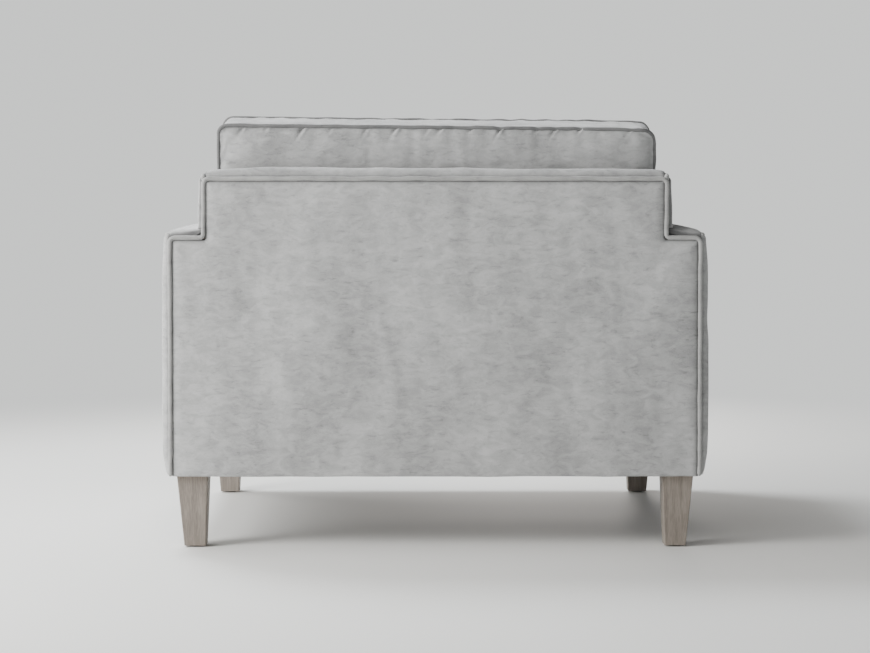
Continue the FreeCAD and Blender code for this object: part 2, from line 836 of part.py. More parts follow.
def legs():
    bolts, nuts, glides = [], [], []
    for y_sign, place in ((-1, "front"), (1, "rear")):
        save_sides("leg_" + place, leg(y_sign))
        y = y_sign * leg_y
        foot = V(leg_x, y, leg_head_z - hanger_in_leg)
        bolts += pair(cylinder(bolt_radius, sill_top_z - ease - foot.z, foot, Z_AXIS))

        base = V(leg_x, y, sill_top_z - nut_depth)
        flange = V(leg_x, y, sill_top_z - nut_flange)
        nut = cylinder(nut_barrel_radius, nut_depth, base, Z_AXIS)
        nut = nut.fuse(cylinder(nut_flange_radius, nut_flange, flange, Z_AXIS))
        bore = cylinder(bolt_radius + hole_gap, nut_depth, base, Z_AXIS)
        nuts += pair(nut.cut(bore).removeSplitter())

        centre = glide_centre(y_sign)
        disc = cylinder(glide_radius, glide_height, V(centre.x, centre.y, 0), Z_AXIS)
        pin = cylinder(glide_pin_radius, glide_pin_length, centre, Z_AXIS)
        glides += pair(disc.fuse(pin).removeSplitter())
    save("hanger_bolts", *bolts)
    save("t_nuts", *nuts)
    save("glides", *glides)


os.makedirs("parts", exist_ok=True)
seat_rails()
corner_blocks()
arm_frame()
back_frame()
frame_bolts()
seat_springs()
spring_clips()
back_webbing()
arm_softs()
arm_fronts()
outside_back()
inside_back()
back_gussets()
seat_platform()
seat_cushion()
back_cushion()
legs()
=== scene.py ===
import json
import math

import bmesh
import bpy
import numpy as np
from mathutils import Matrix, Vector


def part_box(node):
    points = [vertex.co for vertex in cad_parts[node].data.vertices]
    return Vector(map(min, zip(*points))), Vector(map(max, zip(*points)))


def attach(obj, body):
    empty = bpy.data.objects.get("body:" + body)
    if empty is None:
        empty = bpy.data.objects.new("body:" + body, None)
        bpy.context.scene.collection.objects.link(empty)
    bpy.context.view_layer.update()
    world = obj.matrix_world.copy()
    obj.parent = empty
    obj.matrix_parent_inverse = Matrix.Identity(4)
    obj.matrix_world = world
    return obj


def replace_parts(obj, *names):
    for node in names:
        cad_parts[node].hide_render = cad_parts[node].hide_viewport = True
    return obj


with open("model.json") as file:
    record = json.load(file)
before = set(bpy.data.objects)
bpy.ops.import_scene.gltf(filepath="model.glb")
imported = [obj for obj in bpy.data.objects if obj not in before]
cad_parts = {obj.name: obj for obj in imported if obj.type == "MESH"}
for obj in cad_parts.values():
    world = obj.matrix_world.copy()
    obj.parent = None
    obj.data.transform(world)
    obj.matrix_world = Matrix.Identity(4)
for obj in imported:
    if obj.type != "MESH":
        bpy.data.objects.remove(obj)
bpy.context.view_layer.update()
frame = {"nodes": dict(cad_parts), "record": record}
nodes = frame["nodes"]

# ---- the maker's sizes, metres -------------------------------------------------------------
WELT = 0.005  # radius of a welt as sewn
BODY_WELT = 0.0044  # radius of the body's welts once drawn tight
CUSHION_WELT = 0.0038  # radius of a cushion's welts
CLOTH = 0.0015  # cover thickness
ROLL = 0.018  # padded roll outside a welt
INNER_ROLL = 0.012  # the same on an arm's inner edges
SEAM_SHADE_START, SEAM_SHADE_FADE = 0.0025, 0.0028  # painted shade beside a welt, for the seam's shadow: where it starts and how fast it fades
PULL = 0.005  # how far beside a welt the cover is drawn down
CORNER = 0.019  # a cushion's corner radius at its seams
PLEAT_WIDTH, PLEAT_DEPTH = 0.032, 0.0065  # the fold that a cushion's zip lies in
PRESSURE, SHRINK, FRAMES = 4.0, -0.012, 20  # the cloth simulation of a cushion
SLUMP = 0.0045  # how far the back cushion leans over at each end of its top
WIRE = 0.0019  # radius of the spring wire
SPRING_PITCH = 0.108  # from one spring's middle to the next
SHOULDER = np.array([-0.0050, 0, -0.0065])  # how far the arm's top seam is drawn in and down
RECLINE = math.radians(8)

# ---- places read from the frame ------------------------------------------------------------


def low(node):
    """A node's lowest corner."""
    return np.array(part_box(node)[0])


def high(node):
    """A node's highest corner."""
    return np.array(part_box(node)[1])


PANEL_X = high("back_welt")[0] - WELT
WELT_Y = high("back_welt")[1] - WELT
PANEL_TOP = high("back_welt")[2] - WELT
BODY_Y = high("outside_arm_cover_left")[1]
UNDER = low("outside_arm_cover_left")[2]
ARM_IN = low("inside_arm_cover_left")[0]
ARM_TOP = high("inside_arm_cover_left")[2]
ARM_WELT_Z = ARM_TOP - ROLL
BACK_TOP = high("inside_back_cover")[2]
BACK_HALF = high("inside_back_cover")[0]
BACK_LOW = low("inside_back_cover")[2]
BACK_FRONT = low("inside_back_cover")[1]
DECK = high("deck_cover")[2]
BACK_TOP_FRONT = BACK_FRONT + (BACK_TOP - BACK_LOW) * math.tan(RECLINE)

# ---- numbers and noise ---------------------------------------------------------------------


def smooth(x, start=0.0, end=1.0):
    """0 below start and 1 above end, with a level start and finish: t * t * (3 - 2 t)."""
    t = np.clip((x - start) / (end - start), 0, 1)
    return t * t * (3 - 2 * t)


def ripple(points, wavelength, seed, waves=9):
    """A smooth uneven value, about -1 to 1: a sum of sines in seeded random directions."""
    rng = np.random.default_rng(seed)
    way = rng.normal(size=(waves, 3))
    way /= np.linalg.norm(way, axis=1)[:, None]
    length = wavelength * rng.uniform(0.6, 1.7, waves)
    phase = rng.uniform(0, 2 * np.pi, waves)
    angle = points @ (way / length[:, None]).T * 2 * np.pi + phase
    return np.sin(angle).sum(-1) / math.sqrt(waves)


def spaced(*stops):
    """Values from stop to stop; each (value, step) gives the spacing used up to the next."""
    values = []
    for (start, step), (end, _) in zip(stops, stops[1:]):
        count = max(1, int(round(abs(end - start) / step)))
        values.append(np.linspace(start, end, count, endpoint=False))
    return np.concatenate([*values, [stops[-1][0]]])


def even_ends(half, margin, fine, coarse):
    """Values from -half to half, closer together within a margin of each end."""
    return spaced((-half, fine), (margin - half, coarse), (half - margin, fine), (half, 0))


def quarter(distance, radius):
    """A quarter circle's rise, 0 at distance 0 and 1 from radius on: sqrt(1 - (1 - d / r)^2)."""
    t = np.clip(distance / radius, 0, 1)
    return np.sqrt(1 - (1 - t) ** 2)


# ---- mesh makers ---------------------------------------------------------------------------


def paint_seam_shade(mesh, away):
    """Stores painted shade for the shadow in a cover's seams: 1 beside the welt, fading out."""
    seam_shade_mask = np.exp(-np.maximum(away - SEAM_SHADE_START, 0) / SEAM_SHADE_FADE)
    mesh.attributes.new("painted_seam_shade", "FLOAT", "POINT").data.foreach_set("value", seam_shade_mask.ravel())


def add(name, data):
    """A new object in the scene."""
    made = bpy.data.objects.new(name, data)
    bpy.context.scene.collection.objects.link(made)
    return made


def dress(name, mesh, material, body):
    """A smooth mesh as an object with its material, riding on its body."""
    mesh.polygons.foreach_set("use_smooth", np.full(len(mesh.polygons), True))
    mesh.materials.append(material)
    made = add(name, mesh)
    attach(made, body)
    return made


def piece(name, points, quads, material, body="chair", slot="upholstery_velvet", away=None):
    """An object from point and quad arrays; away is each point's distance from a welt, which sets
    the painted shade in its seams.
    """
    mesh = bpy.data.meshes.new(name)
    mesh.from_pydata(points.reshape(-1, 3).tolist(), [], quads.tolist())
    if away is not None:
        # painted shade: the seams' shadow, kept as a point attribute for the colour
        paint_seam_shade(mesh, away)
    mesh.validate()
    return dress(name, mesh, material, body)


def cells(rows, columns, wrap_rows=False, wrap_columns=False):
    """Quads of a rows by columns grid numbered row by row, joined end to end where it wraps."""
    i = np.arange(rows if wrap_rows else rows - 1)[:, None]
    j = np.arange(columns if wrap_columns else columns - 1)[None, :]
    k, n = (i + 1) % rows, (j + 1) % columns
    quads = [i * columns + j, i * columns + n, k * columns + n, k * columns + j]
    return np.stack([q + 0 * i + 0 * j for q in quads], -1).reshape(-1, 4)


def facing(points, quads, away_from):
    """The quads turned, if need be, so that their normals point away from a given place."""
    flat = points.reshape(-1, 3)
    corner = flat[quads]
    normal = np.cross(corner[:, 2] - corner[:, 0], corner[:, 3] - corner[:, 1])
    outward = corner.mean(1) - np.asarray(away_from)
    return quads if (normal * outward).sum() > 0 else quads[:, ::-1]


def thicken(made, thickness=CLOTH):
    """Gives a sheet its thickness on its inner side, with closed edges."""
    solid = made.modifiers.new("cloth", "SOLIDIFY")
    solid.thickness = thickness
    solid.offset = -1
    return made


def sheet(name, points, away_from, material, keep=None, thickness=CLOTH, away=None, **where):
    """A cloth sheet over a grid of points; keep is a mask of the grid's cells."""
    quads = cells(*points.shape[:2])
    if keep is not None:
        quads = quads[keep.reshape(-1)]
    quads = facing(points, quads, away_from)
    used, index = np.unique(quads, return_inverse=True)
    flat = points.reshape(-1, 3)[used]
    if away is not None:
        away = np.broadcast_to(away, points.shape[:2]).reshape(-1)[used]
    made = piece(name, flat, index.reshape(-1, 4), material, away=away, **where)
    return thicken(made, thickness)


def resample(path, step, closed=False):
    """Points evenly spaced along a polyline, and the arc length at each."""
    if closed:
        path = np.concatenate([path, path[:1]])
    run = np.concatenate([[0], np.cumsum(np.linalg.norm(np.diff(path, axis=0), axis=1))])
    count = max(4, int(round(run[-1] / step)) + (0 if closed else 1))
    at = np.linspace(0, run[-1], count, endpoint=not closed)
    return np.stack([np.interp(at, run, path[:, k]) for k in range(3)], -1), at


def rounded(corners, radii, closed=False, steps=8):
    """A polyline through corners, each turned on an arc of its radius tangent to both runs."""
    corners = np.array(corners, float)
    count = len(corners)
    out = []
    for i in range(count):
        if radii[i] == 0 or (not closed and i in (0, count - 1)):
            out.append(corners[i][None])
            continue
        a, b = corners[i - 1] - corners[i], corners[(i + 1) % count] - corners[i]
        a, b = a / np.linalg.norm(a), b / np.linalg.norm(b)
        half = np.arccos(np.clip(a @ b, -1, 1)) / 2
        reach = radii[i] / math.tan(half)
        middle = corners[i] + (a + b) / np.linalg.norm(a + b) * radii[i] / math.sin(half)
        start, end = corners[i] + a * reach - middle, corners[i] + b * reach - middle
        sweep = np.pi - 2 * half
        t = np.linspace(0, 1, steps + 1)[:, None]
        arc = np.sin((1 - t) * sweep) * start + np.sin(t * sweep) * end
        out.append(middle + arc / math.sin(sweep))
    return np.concatenate(out)


def tube(path, plane, radius=WELT, closed=False, step=0.004, sides=12, seed=1, uneven=1.0):
    """A cord: circles square to a flat path, carried along it.

    The path lies in the plane whose normal is given, so a circle's two axes are that normal
    and the path's direction crossed with it. The centre wanders a little off the path and
    the radius swells and pinches, both as smooth ripples of place; open ends are rounded.
    """
    path, along = resample(path, step, closed)
    drift = np.stack([ripple(path, 0.06, seed + k) for k in range(3)], -1)
    size = radius * (1 + 0.04 * uneven * ripple(path, 0.03, seed + 5))
    path = path + 0.0004 * uneven * drift
    ahead = np.roll(path, -1, 0) - np.roll(path, 1, 0)
    if not closed:
        ahead[0], ahead[-1] = path[1] - path[0], path[-1] - path[-2]
        size = size * (0.35 + 0.65 * quarter(np.minimum(along, along[-1] - along), radius * 0.8))
    ahead /= np.linalg.norm(ahead, axis=1)[:, None]
    side = np.cross(ahead, plane)
    side /= np.linalg.norm(side, axis=1)[:, None]
    across = np.cross(side, ahead)
    turn = np.linspace(0, 2 * np.pi, sides, endpoint=False)[None, :, None]
    ring = np.cos(turn) * side[:, None] + np.sin(turn) * across[:, None]
    points = (path[:, None] + ring * size[:, None, None]).reshape(-1, 3)
    faces = [cells(len(path), sides, wrap_rows=closed, wrap_columns=True)]
    if not closed:
        points = np.concatenate([points, path[:1], path[-1:]])
        for start, hub in ((0, len(points) - 2), ((len(path) - 1) * sides, len(points) - 1)):
            ring = start + np.arange(sides)
            faces.append(np.stack([ring, np.roll(ring, -1), np.full(sides, hub)], -1))
    return points, faces


def cords(name, tubes, material, replaced, body="chair"):
    """One object holding several tubes, with its normals turned outwards."""
    starts = np.cumsum([0, *[len(points) for points, _ in tubes]])
    faces = [face for start, (_, parts) in zip(starts, tubes)
             for part in parts for face in (part + start).tolist()]
    mesh = bpy.data.meshes.new(name)
    mesh.from_pydata(np.concatenate([points for points, _ in tubes]).tolist(), [], faces)
    work = bmesh.new()
    work.from_mesh(mesh)
    bmesh.ops.recalc_face_normals(work, faces=work.faces)
    work.to_mesh(mesh)
    work.free()
    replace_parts(dress(name, mesh, material, body), *replaced)


# ---- materials -----------------------------------------------------------------------------


def effect_group(name, *scales):
    """A node group from a Vector and named scales to a Shade and a Height."""
    tree = bpy.data.node_groups.new(name, "ShaderNodeTree")
    tree.interface.new_socket("Vector", in_out="INPUT", socket_type="NodeSocketVector")
    for label, default in scales:
        socket = tree.interface.new_socket(label, in_out="INPUT", socket_type="NodeSocketFloat")
        socket.default_value = default
    for label in ("Shade", "Height"):
        tree.interface.new_socket(label, in_out="OUTPUT", socket_type="NodeSocketFloat")
    inside, out = tree.nodes.new("NodeGroupInput"), tree.nodes.new("NodeGroupOutput")

    def finish(shade, height):
        tree.links.new(shade, out.inputs["Shade"])
        tree.links.new(height, out.inputs["Height"])
        return tree

    return tree, inside.outputs, finish


def math_node(tree, operation, a, b=None):
    """A Math node over sockets or numbers."""
    node = tree.nodes.new("ShaderNodeMath")
    node.operation = operation
    for socket, value in zip(node.inputs, (a, b)):
        if isinstance(value, (int, float)):
            socket.default_value = value
        elif value is not None:
            tree.links.new(value, socket)
    return node.outputs[0]


def weighted(tree, parts):
    """The sum of values, each times its weight, added in order."""
    total = math_node(tree, "MULTIPLY", *parts[0])
    for part, weight in parts[1:]:
        total = math_node(tree, "ADD", total, math_node(tree, "MULTIPLY", part, weight))
    return total


def mix_colour(tree, factor, a, b):
    """A colour mix between two colours, either of which may be a socket."""
    node = tree.nodes.new("ShaderNodeMix")
    node.data_type = "RGBA"
    tree.links.new(factor, node.inputs["Factor"])
    for label, value in (("A", a), ("B", b)):
        if isinstance(value, tuple):
            node.inputs[label].default_value = (*value, 1)
        else:
            tree.links.new(value, node.inputs[label])
    return node.outputs["Result"]


def noise(tree, vector, scale, detail=3.0, rough=0.5, stretch=(1, 1, 1), distortion=0.0):
    """A noise value over a vector that is first stretched by a Mapping node."""
    mapping = tree.nodes.new("ShaderNodeMapping")
    mapping.inputs["Scale"].default_value = stretch
    tree.links.new(vector, mapping.inputs["Vector"])
    node = tree.nodes.new("ShaderNodeTexNoise")
    node.inputs["Detail"].default_value = detail
    node.inputs["Roughness"].default_value = rough
    node.inputs["Distortion"].default_value = distortion
    if isinstance(scale, (int, float)):
        node.inputs["Scale"].default_value = scale
    else:
        tree.links.new(scale, node.inputs["Scale"])
    tree.links.new(mapping.outputs[0], node.inputs["Vector"])
    return node.outputs["Fac"]


def levels(tree, value, dark, light):
    """value mapped so that dark gives 0 and light gives 1, clamped."""
    node = tree.nodes.new("ShaderNodeMapRange")
    node.interpolation_type = "SMOOTHSTEP"
    node.inputs["From Min"].default_value = dark
    node.inputs["From Max"].default_value = light
    tree.links.new(value, node.inputs["Value"])
    return node.outputs[0]


def pile_group():
    """Crushed pile: broad clouds, lying streaks and small scuffs for shade; fibres for height."""
    tree, inputs, finish = effect_group("crushed_pile", ("Cloud Scale", 4.0),
                                        ("Fibre Scale", 700.0))
    vector = inputs["Vector"]
    cloud = noise(tree, vector, inputs["Cloud Scale"], 3, 0.5, (1.6, 1.2, 0.8), 0.5)
    streak = noise(tree, vector, 30, 4, 0.6, (0.85, 0.9, 1.6), 0.9)
    fleck = noise(tree, vector, 80, 3, 0.6, (0.65, 0.8, 2.0), 0.6)
    mottle = noise(tree, vector, 95, 4, 0.65, (0.8, 0.9, 1.3), 0.4)
    grain = noise(tree, vector, 420, 2, 0.6)
    fibre = noise(tree, vector, inputs["Fibre Scale"], 2, 0.7)
    shade = weighted(tree, [
        (levels(tree, cloud, 0.30, 0.70), 0.26), (levels(tree, streak, 0.34, 0.66), 0.20),
        (levels(tree, fleck, 0.30, 0.46), 0.16), (mottle, 0.28), (grain, 0.20)])
    return finish(shade, weighted(tree, [(fibre, 1.0), (mottle, 0.8)]))


def weave_group():
    """Plain weave: two crossed sets of threads, each a sine, with uneven yarn."""
    tree, inputs, finish = effect_group("plain_weave", ("Threads", 900.0))
    split = tree.nodes.new("ShaderNodeSeparateXYZ")
    tree.links.new(inputs["Vector"], split.inputs[0])
    waves = []
    for axis in ("X", "Y"):
        place = math_node(tree, "ADD", split.outputs[axis], split.outputs["Z"])
        turn = math_node(tree, "MULTIPLY", place, inputs["Threads"])
        waves.append(math_node(tree, "ABSOLUTE", math_node(tree, "SINE", turn)))
    threads = math_node(tree, "MULTIPLY", *waves)
    yarn = noise(tree, inputs["Vector"], 240, 2, 0.6)
    return finish(weighted(tree, [(threads, 0.5), (yarn, 0.5)]), threads)


def grain_group():
    """Wood: long growth bands bent by noise, fine pores along the grain, and a broad tone."""
    tree, inputs, finish = effect_group("wood_grain", ("Band Scale", 60.0), ("Pore Scale", 420.0))
    vector = inputs["Vector"]
    bands = noise(tree, vector, inputs["Band Scale"], 4, 0.6, (1, 1, 0.07), 0.7)
    pores = noise(tree, vector, inputs["Pore Scale"], 2, 0.6, (1, 1, 0.035), 0.2)
    bands, pores = levels(tree, bands, 0.3, 0.72), levels(tree, pores, 0.38, 0.6)
    tone = noise(tree, vector, 9, 3, 0.5, (1, 1, 0.5))
    return finish(weighted(tree, [(bands, 0.5), (pores, 0.25), (tone, 0.35)]),
                  weighted(tree, [(pores, 1.0), (bands, 0.5)]))


PILE, WEAVE, GRAIN = pile_group(), weave_group(), grain_group()


SEAM_SHADE_DARK = (0.03, 0.03, 0.031)  # painted shade: the near black that a cover's colour goes towards in its seams, for their shadow


def finish_material(name, effect, scales, dark, light, rough, bump, turn=(0, 0, 0), depth=0.001,
                    sheen=0.0, metallic=0.0, sheen_rough=0.5, painted_seam_shade=0.0):
    """A material whose colour and bump come from an effect group over Object coordinates.

    scales fill the group's inputs after Vector, in their order. The last argument paints shade
    into the seams: how far the colour goes to near black where the piece's seam attribute is 1.
    """
    material = bpy.data.materials.new(name)
    material.use_nodes = True
    tree = material.node_tree
    shader = tree.nodes["Principled BSDF"]
    mapping = tree.nodes.new("ShaderNodeMapping")
    mapping.inputs["Rotation"].default_value = turn
    tree.links.new(tree.nodes.new("ShaderNodeTexCoord").outputs["Object"],
                   mapping.inputs["Vector"])
    node = tree.nodes.new("ShaderNodeGroup")
    node.node_tree = effect
    tree.links.new(mapping.outputs[0], node.inputs["Vector"])
    for socket, value in zip(node.inputs[1:], scales):
        socket.default_value = value
    colour = mix_colour(tree, node.outputs["Shade"], dark, light)
    # painted shade: the colour darkens towards near black along the seams, for the shadow between
    # welt and cover
    if painted_seam_shade:
        seam_shade_mask = tree.nodes.new("ShaderNodeAttribute")
        seam_shade_mask.attribute_name = "painted_seam_shade"
        seam_shade_weight = math_node(tree, "MULTIPLY", seam_shade_mask.outputs["Fac"], painted_seam_shade)
        colour = mix_colour(tree, seam_shade_weight, colour, SEAM_SHADE_DARK)
    tree.links.new(colour, shader.inputs["Base Color"])
    roughness = tree.nodes.new("ShaderNodeMapRange")
    roughness.inputs["To Min"].default_value = rough[0]
    roughness.inputs["To Max"].default_value = rough[1]
    tree.links.new(node.outputs["Shade"], roughness.inputs["Value"])
    tree.links.new(roughness.outputs[0], shader.inputs["Roughness"])
    relief = tree.nodes.new("ShaderNodeBump")
    relief.inputs["Strength"].default_value = bump
    relief.inputs["Distance"].default_value = depth
    tree.links.new(node.outputs["Height"], relief.inputs["Height"])
    tree.links.new(relief.outputs[0], shader.inputs["Normal"])
    shader.inputs["Metallic"].default_value = metallic
    shader.inputs["Sheen Weight"].default_value = sheen
    shader.inputs["Sheen Roughness"].default_value = sheen_rough
    return material


# name, effect, its scales, dark and light colour, roughness from dark to light, bump strength
# the velvet's seams get painted shade
velvet = finish_material(
    "grey_velvet", PILE, (4.5, 900), (0.112, 0.113, 0.114), (0.555, 0.556, 0.556), (0.95, 0.75),
    0.35, sheen=0.35, sheen_rough=0.4, painted_seam_shade=0.75)
welt_velvet = finish_material(
    "grey_velvet_welt", PILE, (14, 1200), (0.20, 0.20, 0.198), (0.42, 0.42, 0.413), (0.95, 0.8),
    0.3, sheen=0.3, sheen_rough=0.4)
# painted shade: a darker copy of the grey velvet for the cushions' self-piping, for the shade on
# the thin cords
shaded_cushion_cord = finish_material(
    "grey_velvet_cord_painted_shade", PILE, (14, 1200), (0.085, 0.086, 0.087), (0.20, 0.20, 0.20), (0.95, 0.8),
    0.3, sheen=0.2, sheen_rough=0.4)
deck_weave = finish_material(
    "deck_weave", WEAVE, (1500,), (0.20, 0.20, 0.198), (0.38, 0.38, 0.372), (0.95, 0.85), 0.6)
dust_weave = finish_material(
    "dust_cloth", WEAVE, (2600,), (0.012, 0.012, 0.013), (0.045, 0.045, 0.047), (0.95, 0.85), 0.5)
tape_weave = finish_material(
    "zip_tape_weave", WEAVE, (4200,), (0.16, 0.16, 0.16), (0.30, 0.30, 0.295), (0.9, 0.8), 0.5)
web_weave = finish_material(
    "webbing_weave", WEAVE, (1900,), (0.06, 0.055, 0.045), (0.22, 0.20, 0.165), (0.9, 0.8), 0.6)
foam_open = finish_material(
    "open_foam", PILE, (9, 500), (0.72, 0.64, 0.42), (0.88, 0.82, 0.62), (0.98, 0.92), 0.6)
leg_wood = finish_material(
    "weathered_wood", GRAIN, (70, 520), (0.135, 0.112, 0.094), (0.31, 0.27, 0.232), (0.7, 0.5),
    0.3, depth=0.0005)
frame_wood = finish_material(
    "sawn_timber", GRAIN, (45, 380), (0.42, 0.29, 0.16), (0.74, 0.58, 0.38), (0.85, 0.7), 0.35,
    turn=(0, math.pi / 2, 0), depth=0.0006)
board_brown = finish_material(
    "brown_board", PILE, (12, 600), (0.22, 0.13, 0.07), (0.42, 0.28, 0.16), (0.8, 0.65), 0.25)
spring_steel = finish_material(
    "oiled_wire", PILE, (20, 300), (0.16, 0.16, 0.165), (0.36, 0.36, 0.37), (0.5, 0.3), 0.12,
    metallic=1.0)
zinc_steel = finish_material(
    "zinc_plate", PILE, (30, 500), (0.48, 0.48, 0.5), (0.72, 0.72, 0.74), (0.45, 0.28), 0.1,
    metallic=1.0)
zip_metal = finish_material(
    "zip_lacquer", PILE, (60, 900), (0.10, 0.10, 0.105), (0.24, 0.24, 0.245), (0.45, 0.3), 0.1,
    metallic=0.6)
glide_plastic = finish_material(
    "glide_plastic", PILE, (40, 700), (0.05, 0.048, 0.045), (0.12, 0.115, 0.11), (0.6, 0.45),
    0.15)

BY_SLOT = {
    "upholstery_velvet": velvet, "zip_tape": tape_weave, "zip_metal": zip_metal,
    "foam": foam_open, "deck_cloth": deck_weave, "dust_cloth": dust_weave,
    "webbing": web_weave, "spring_steel": spring_steel, "zinc_steel": zinc_steel,
    "glide_plastic": glide_plastic, "hardboard": board_brown, "leg_wood": leg_wood,
    "frame_timber": frame_wood,
}
for subpart in frame["record"]["subparts"]:
    node = nodes[subpart["node"]]
    node.data.materials.clear()
    node.data.materials.append(BY_SLOT[subpart["material_slot"]])

# ---- covers --------------------------------------------------------------------------------
SIDES = {1: "left", -1: "right"}


def handed(points, side):
    """The left side's points, mirrored for the right."""
    return points if side > 0 else points * np.array([-1, 1, 1])


def cover(name, points, away_from, fill, stands_for, material=velvet, **more):
    """A padded sheet that stands for its CAD nodes."""
    made = sheet(name, points, away_from, material, **more)
    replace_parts(made, *stands_for)


def hem(rows, radius=0.003, tail=0.014):
    """(height, outward offset) of rows climbing from inside a folded lower edge.

    A tail comes down inside, half a circle turns outwards, and the rows go straight up.
    """
    turn = np.linspace(np.pi, 0, 7)
    heights = UNDER + radius - radius * np.sin(turn)
    offsets = radius * np.cos(turn) - radius
    return (np.concatenate([[UNDER + tail], heights, rows]),
            np.concatenate([[-2 * radius], offsets, np.zeros(len(rows))]))


def back_outline_distance(x, z):
    """Distance inside the outside back's T-shaped outline, to its nearest welt."""
    shoulder = np.where(z > ARM_WELT_Z, ARM_IN, PANEL_X) - np.abs(x)
    notch = np.where(
        z <= ARM_WELT_Z,
        np.hypot(np.maximum(ARM_IN - np.abs(x), 0), ARM_WELT_Z - z),
        PANEL_X,
    )
    return np.minimum(np.minimum(shoulder, notch), PANEL_TOP - z)


def outside_back():
    """The T-shaped rear panel.

    Its depth is the body's rear plus a quarter circle's rise away from the welts, with slow
    ripples between them and a hem along the bottom that wavers in height.
    """
    edge = WELT / 2
    x = spaced((-PANEL_X + edge, 0.002), (-PANEL_X + 0.02, 0.006), (-ARM_IN - 0.02, 0.002),
               (-ARM_IN + edge, 0.002), (-ARM_IN + 0.03, 0.008), (ARM_IN - 0.03, 0.002),
               (ARM_IN - edge, 0.002), (ARM_IN + 0.02, 0.006), (PANEL_X - 0.02, 0.002),
               (PANEL_X - edge, 0))
    climb = spaced((UNDER + 0.005, 0.004), (UNDER + 0.03, 0.008), (ARM_WELT_Z - 0.03, 0.002),
                   (ARM_WELT_Z - edge, 0.002), (ARM_WELT_Z + 0.01, 0.006),
                   (PANEL_TOP - 0.02, 0.002), (PANEL_TOP - edge, 0))
    z, offset = hem(climb)
    grid_x, grid_z = np.meshgrid(x, z)
    place = np.stack([grid_x, 0 * grid_x, grid_z], -1)
    away = back_outline_distance(grid_x, grid_z) - edge
    crown, pulled = 0.0075, 0.0022  # how far it stands out, less at the notches' corners
    notch = np.hypot(np.abs(grid_x) - ARM_IN, grid_z - ARM_WELT_Z)
    rise = crown * quarter(away, 0.024) - pulled * np.exp(-notch / 0.014)
    swell = 0.0012 * ripple(place, 0.26, 11) + 0.0005 * ripple(place, 0.09, 12)
    swell += 0.0006 * ripple(place * [1, 1, 0.35], 0.05, 14)
    pinch = 0.0005 * np.exp(-away / 0.012) * ripple(place, 0.022, 13)
    y = BODY_Y + CLOTH + offset[:, None] + rise + (swell + pinch) * smooth(away, 0, 0.03)
    y += 0.0005 * ripple(place * [1, 0, 0], 0.11, 16) * smooth(grid_z, UNDER + 0.05, UNDER)
    wave = 0.0005 * ripple(place * [1, 0, 0], 0.16, 15) * smooth(grid_z, UNDER + 0.09, UNDER)
    points = np.stack([grid_x, y, grid_z + wave], -1)
    middle_x = (grid_x[1:, 1:] + grid_x[:-1, :-1]) / 2
    middle_z = (grid_z[1:, 1:] + grid_z[:-1, :-1]) / 2
    keep = (np.abs(middle_x) < ARM_IN - edge) | (middle_z < ARM_WELT_Z - edge)
    cover("outside_back_panel", points, (0, 0, 0.4), 0.3, ["outside_back_cover"], keep=keep,
          away=away)


def swollen(place, seed, most=0.002):
    """How far a padded side stands proud at a place: slow ripples with smaller ones on them."""
    return most * (0.6 * ripple(place, 0.3, seed) + 0.3 * ripple(place, 0.1, seed + 1)
                   + 0.12 * ripple(place, 0.045, seed + 2))


def outside_arm(side, turns=10, straights=110, tips=6):
    """An arm's outer cover: a rounded box's side.

    A point is a centre line point plus ROLL times a unit normal, which swings level from
    rearward to sideways to forward, and tips up by 45 degrees to meet the arm's top welt.
    Towards its hem the side rolls under by a smooth step and a quarter circle. turns,
    straights and tips are how many grid lines those stretches have.
    """
    straight = BODY_Y - ROLL
    swing = np.linspace(0, np.pi / 2, turns)
    level = np.concatenate([swing, np.full(straights - 2, np.pi / 2), np.pi / 2 + swing])
    centre_y = np.concatenate([
        np.full(turns, straight), np.linspace(straight, -straight, straights)[1:-1],
        np.full(turns, -straight)])
    z, offset = hem(spaced((UNDER + 0.004, 0.006), (UNDER + 0.04, 0.009), (ARM_WELT_Z, 0)))
    tip = np.concatenate([0 * z, np.linspace(0, np.pi / 4, tips + 1)[1:]])
    z = np.concatenate([z, np.full(tips, ARM_WELT_Z)])
    offset = np.concatenate([offset, np.zeros(tips)])
    normal = np.stack([np.cos(tip)[:, None] * np.sin(level),
                       np.cos(tip)[:, None] * np.cos(level),
                       np.sin(tip)[:, None] + 0 * level], -1)
    centre = np.stack([np.full((len(z), len(level)), PANEL_X),
                       centre_y + 0 * z[:, None], z[:, None] + 0 * level], -1)
    run = ROLL * level + (straight - centre_y)
    from_ends = np.minimum(run, run[-1] - run)[None, :]
    to_seam = ROLL * (np.pi / 4 - tip)[:, None] + (ARM_WELT_Z - z)[:, None]
    slimmer = 0.22 * smooth(z, UNDER + 0.05, UNDER)[:, None]
    radius = ROLL * (1 - slimmer) + offset[:, None]
    dip = 0.0022 * np.exp(-to_seam / PULL) + 0.0030 * np.exp(-from_ends / PULL)
    bulge = 0.0022 * smooth(from_ends, 0, 0.06) * smooth(to_seam, 0, 0.1)
    points = centre + normal * (radius - dip)[..., None]
    rolled = 0.14 * smooth(z, UNDER + 0.065, UNDER) + 0.32 * (1 - quarter(z - UNDER, 0.016))
    points[..., 0] -= ROLL * rolled[:, None] * normal[..., 0]
    wander = swollen(points, 21 if side > 0 else 31)
    wander = wander * smooth(from_ends, 0, 0.03) * smooth(to_seam, 0, 0.03)
    wander = wander * (0.25 + 0.75 * smooth(z, UNDER, UNDER + 0.14))[:, None]
    points = points + normal * (bulge + wander)[..., None]
    drawn = np.sin(level) * np.stack([np.exp(-to_seam / 0.060), np.exp(-to_seam / 0.012)])
    points = points + SHOULDER * np.stack([drawn[0], 0 * drawn[0], drawn[1]], -1)
    cover("arm_outside_" + SIDES[side], handed(points, side), (side * 0.5, 0, 0.4), 0.5,
          ["outside_arm_cover_" + SIDES[side]], away=np.minimum(from_ends, to_seam))


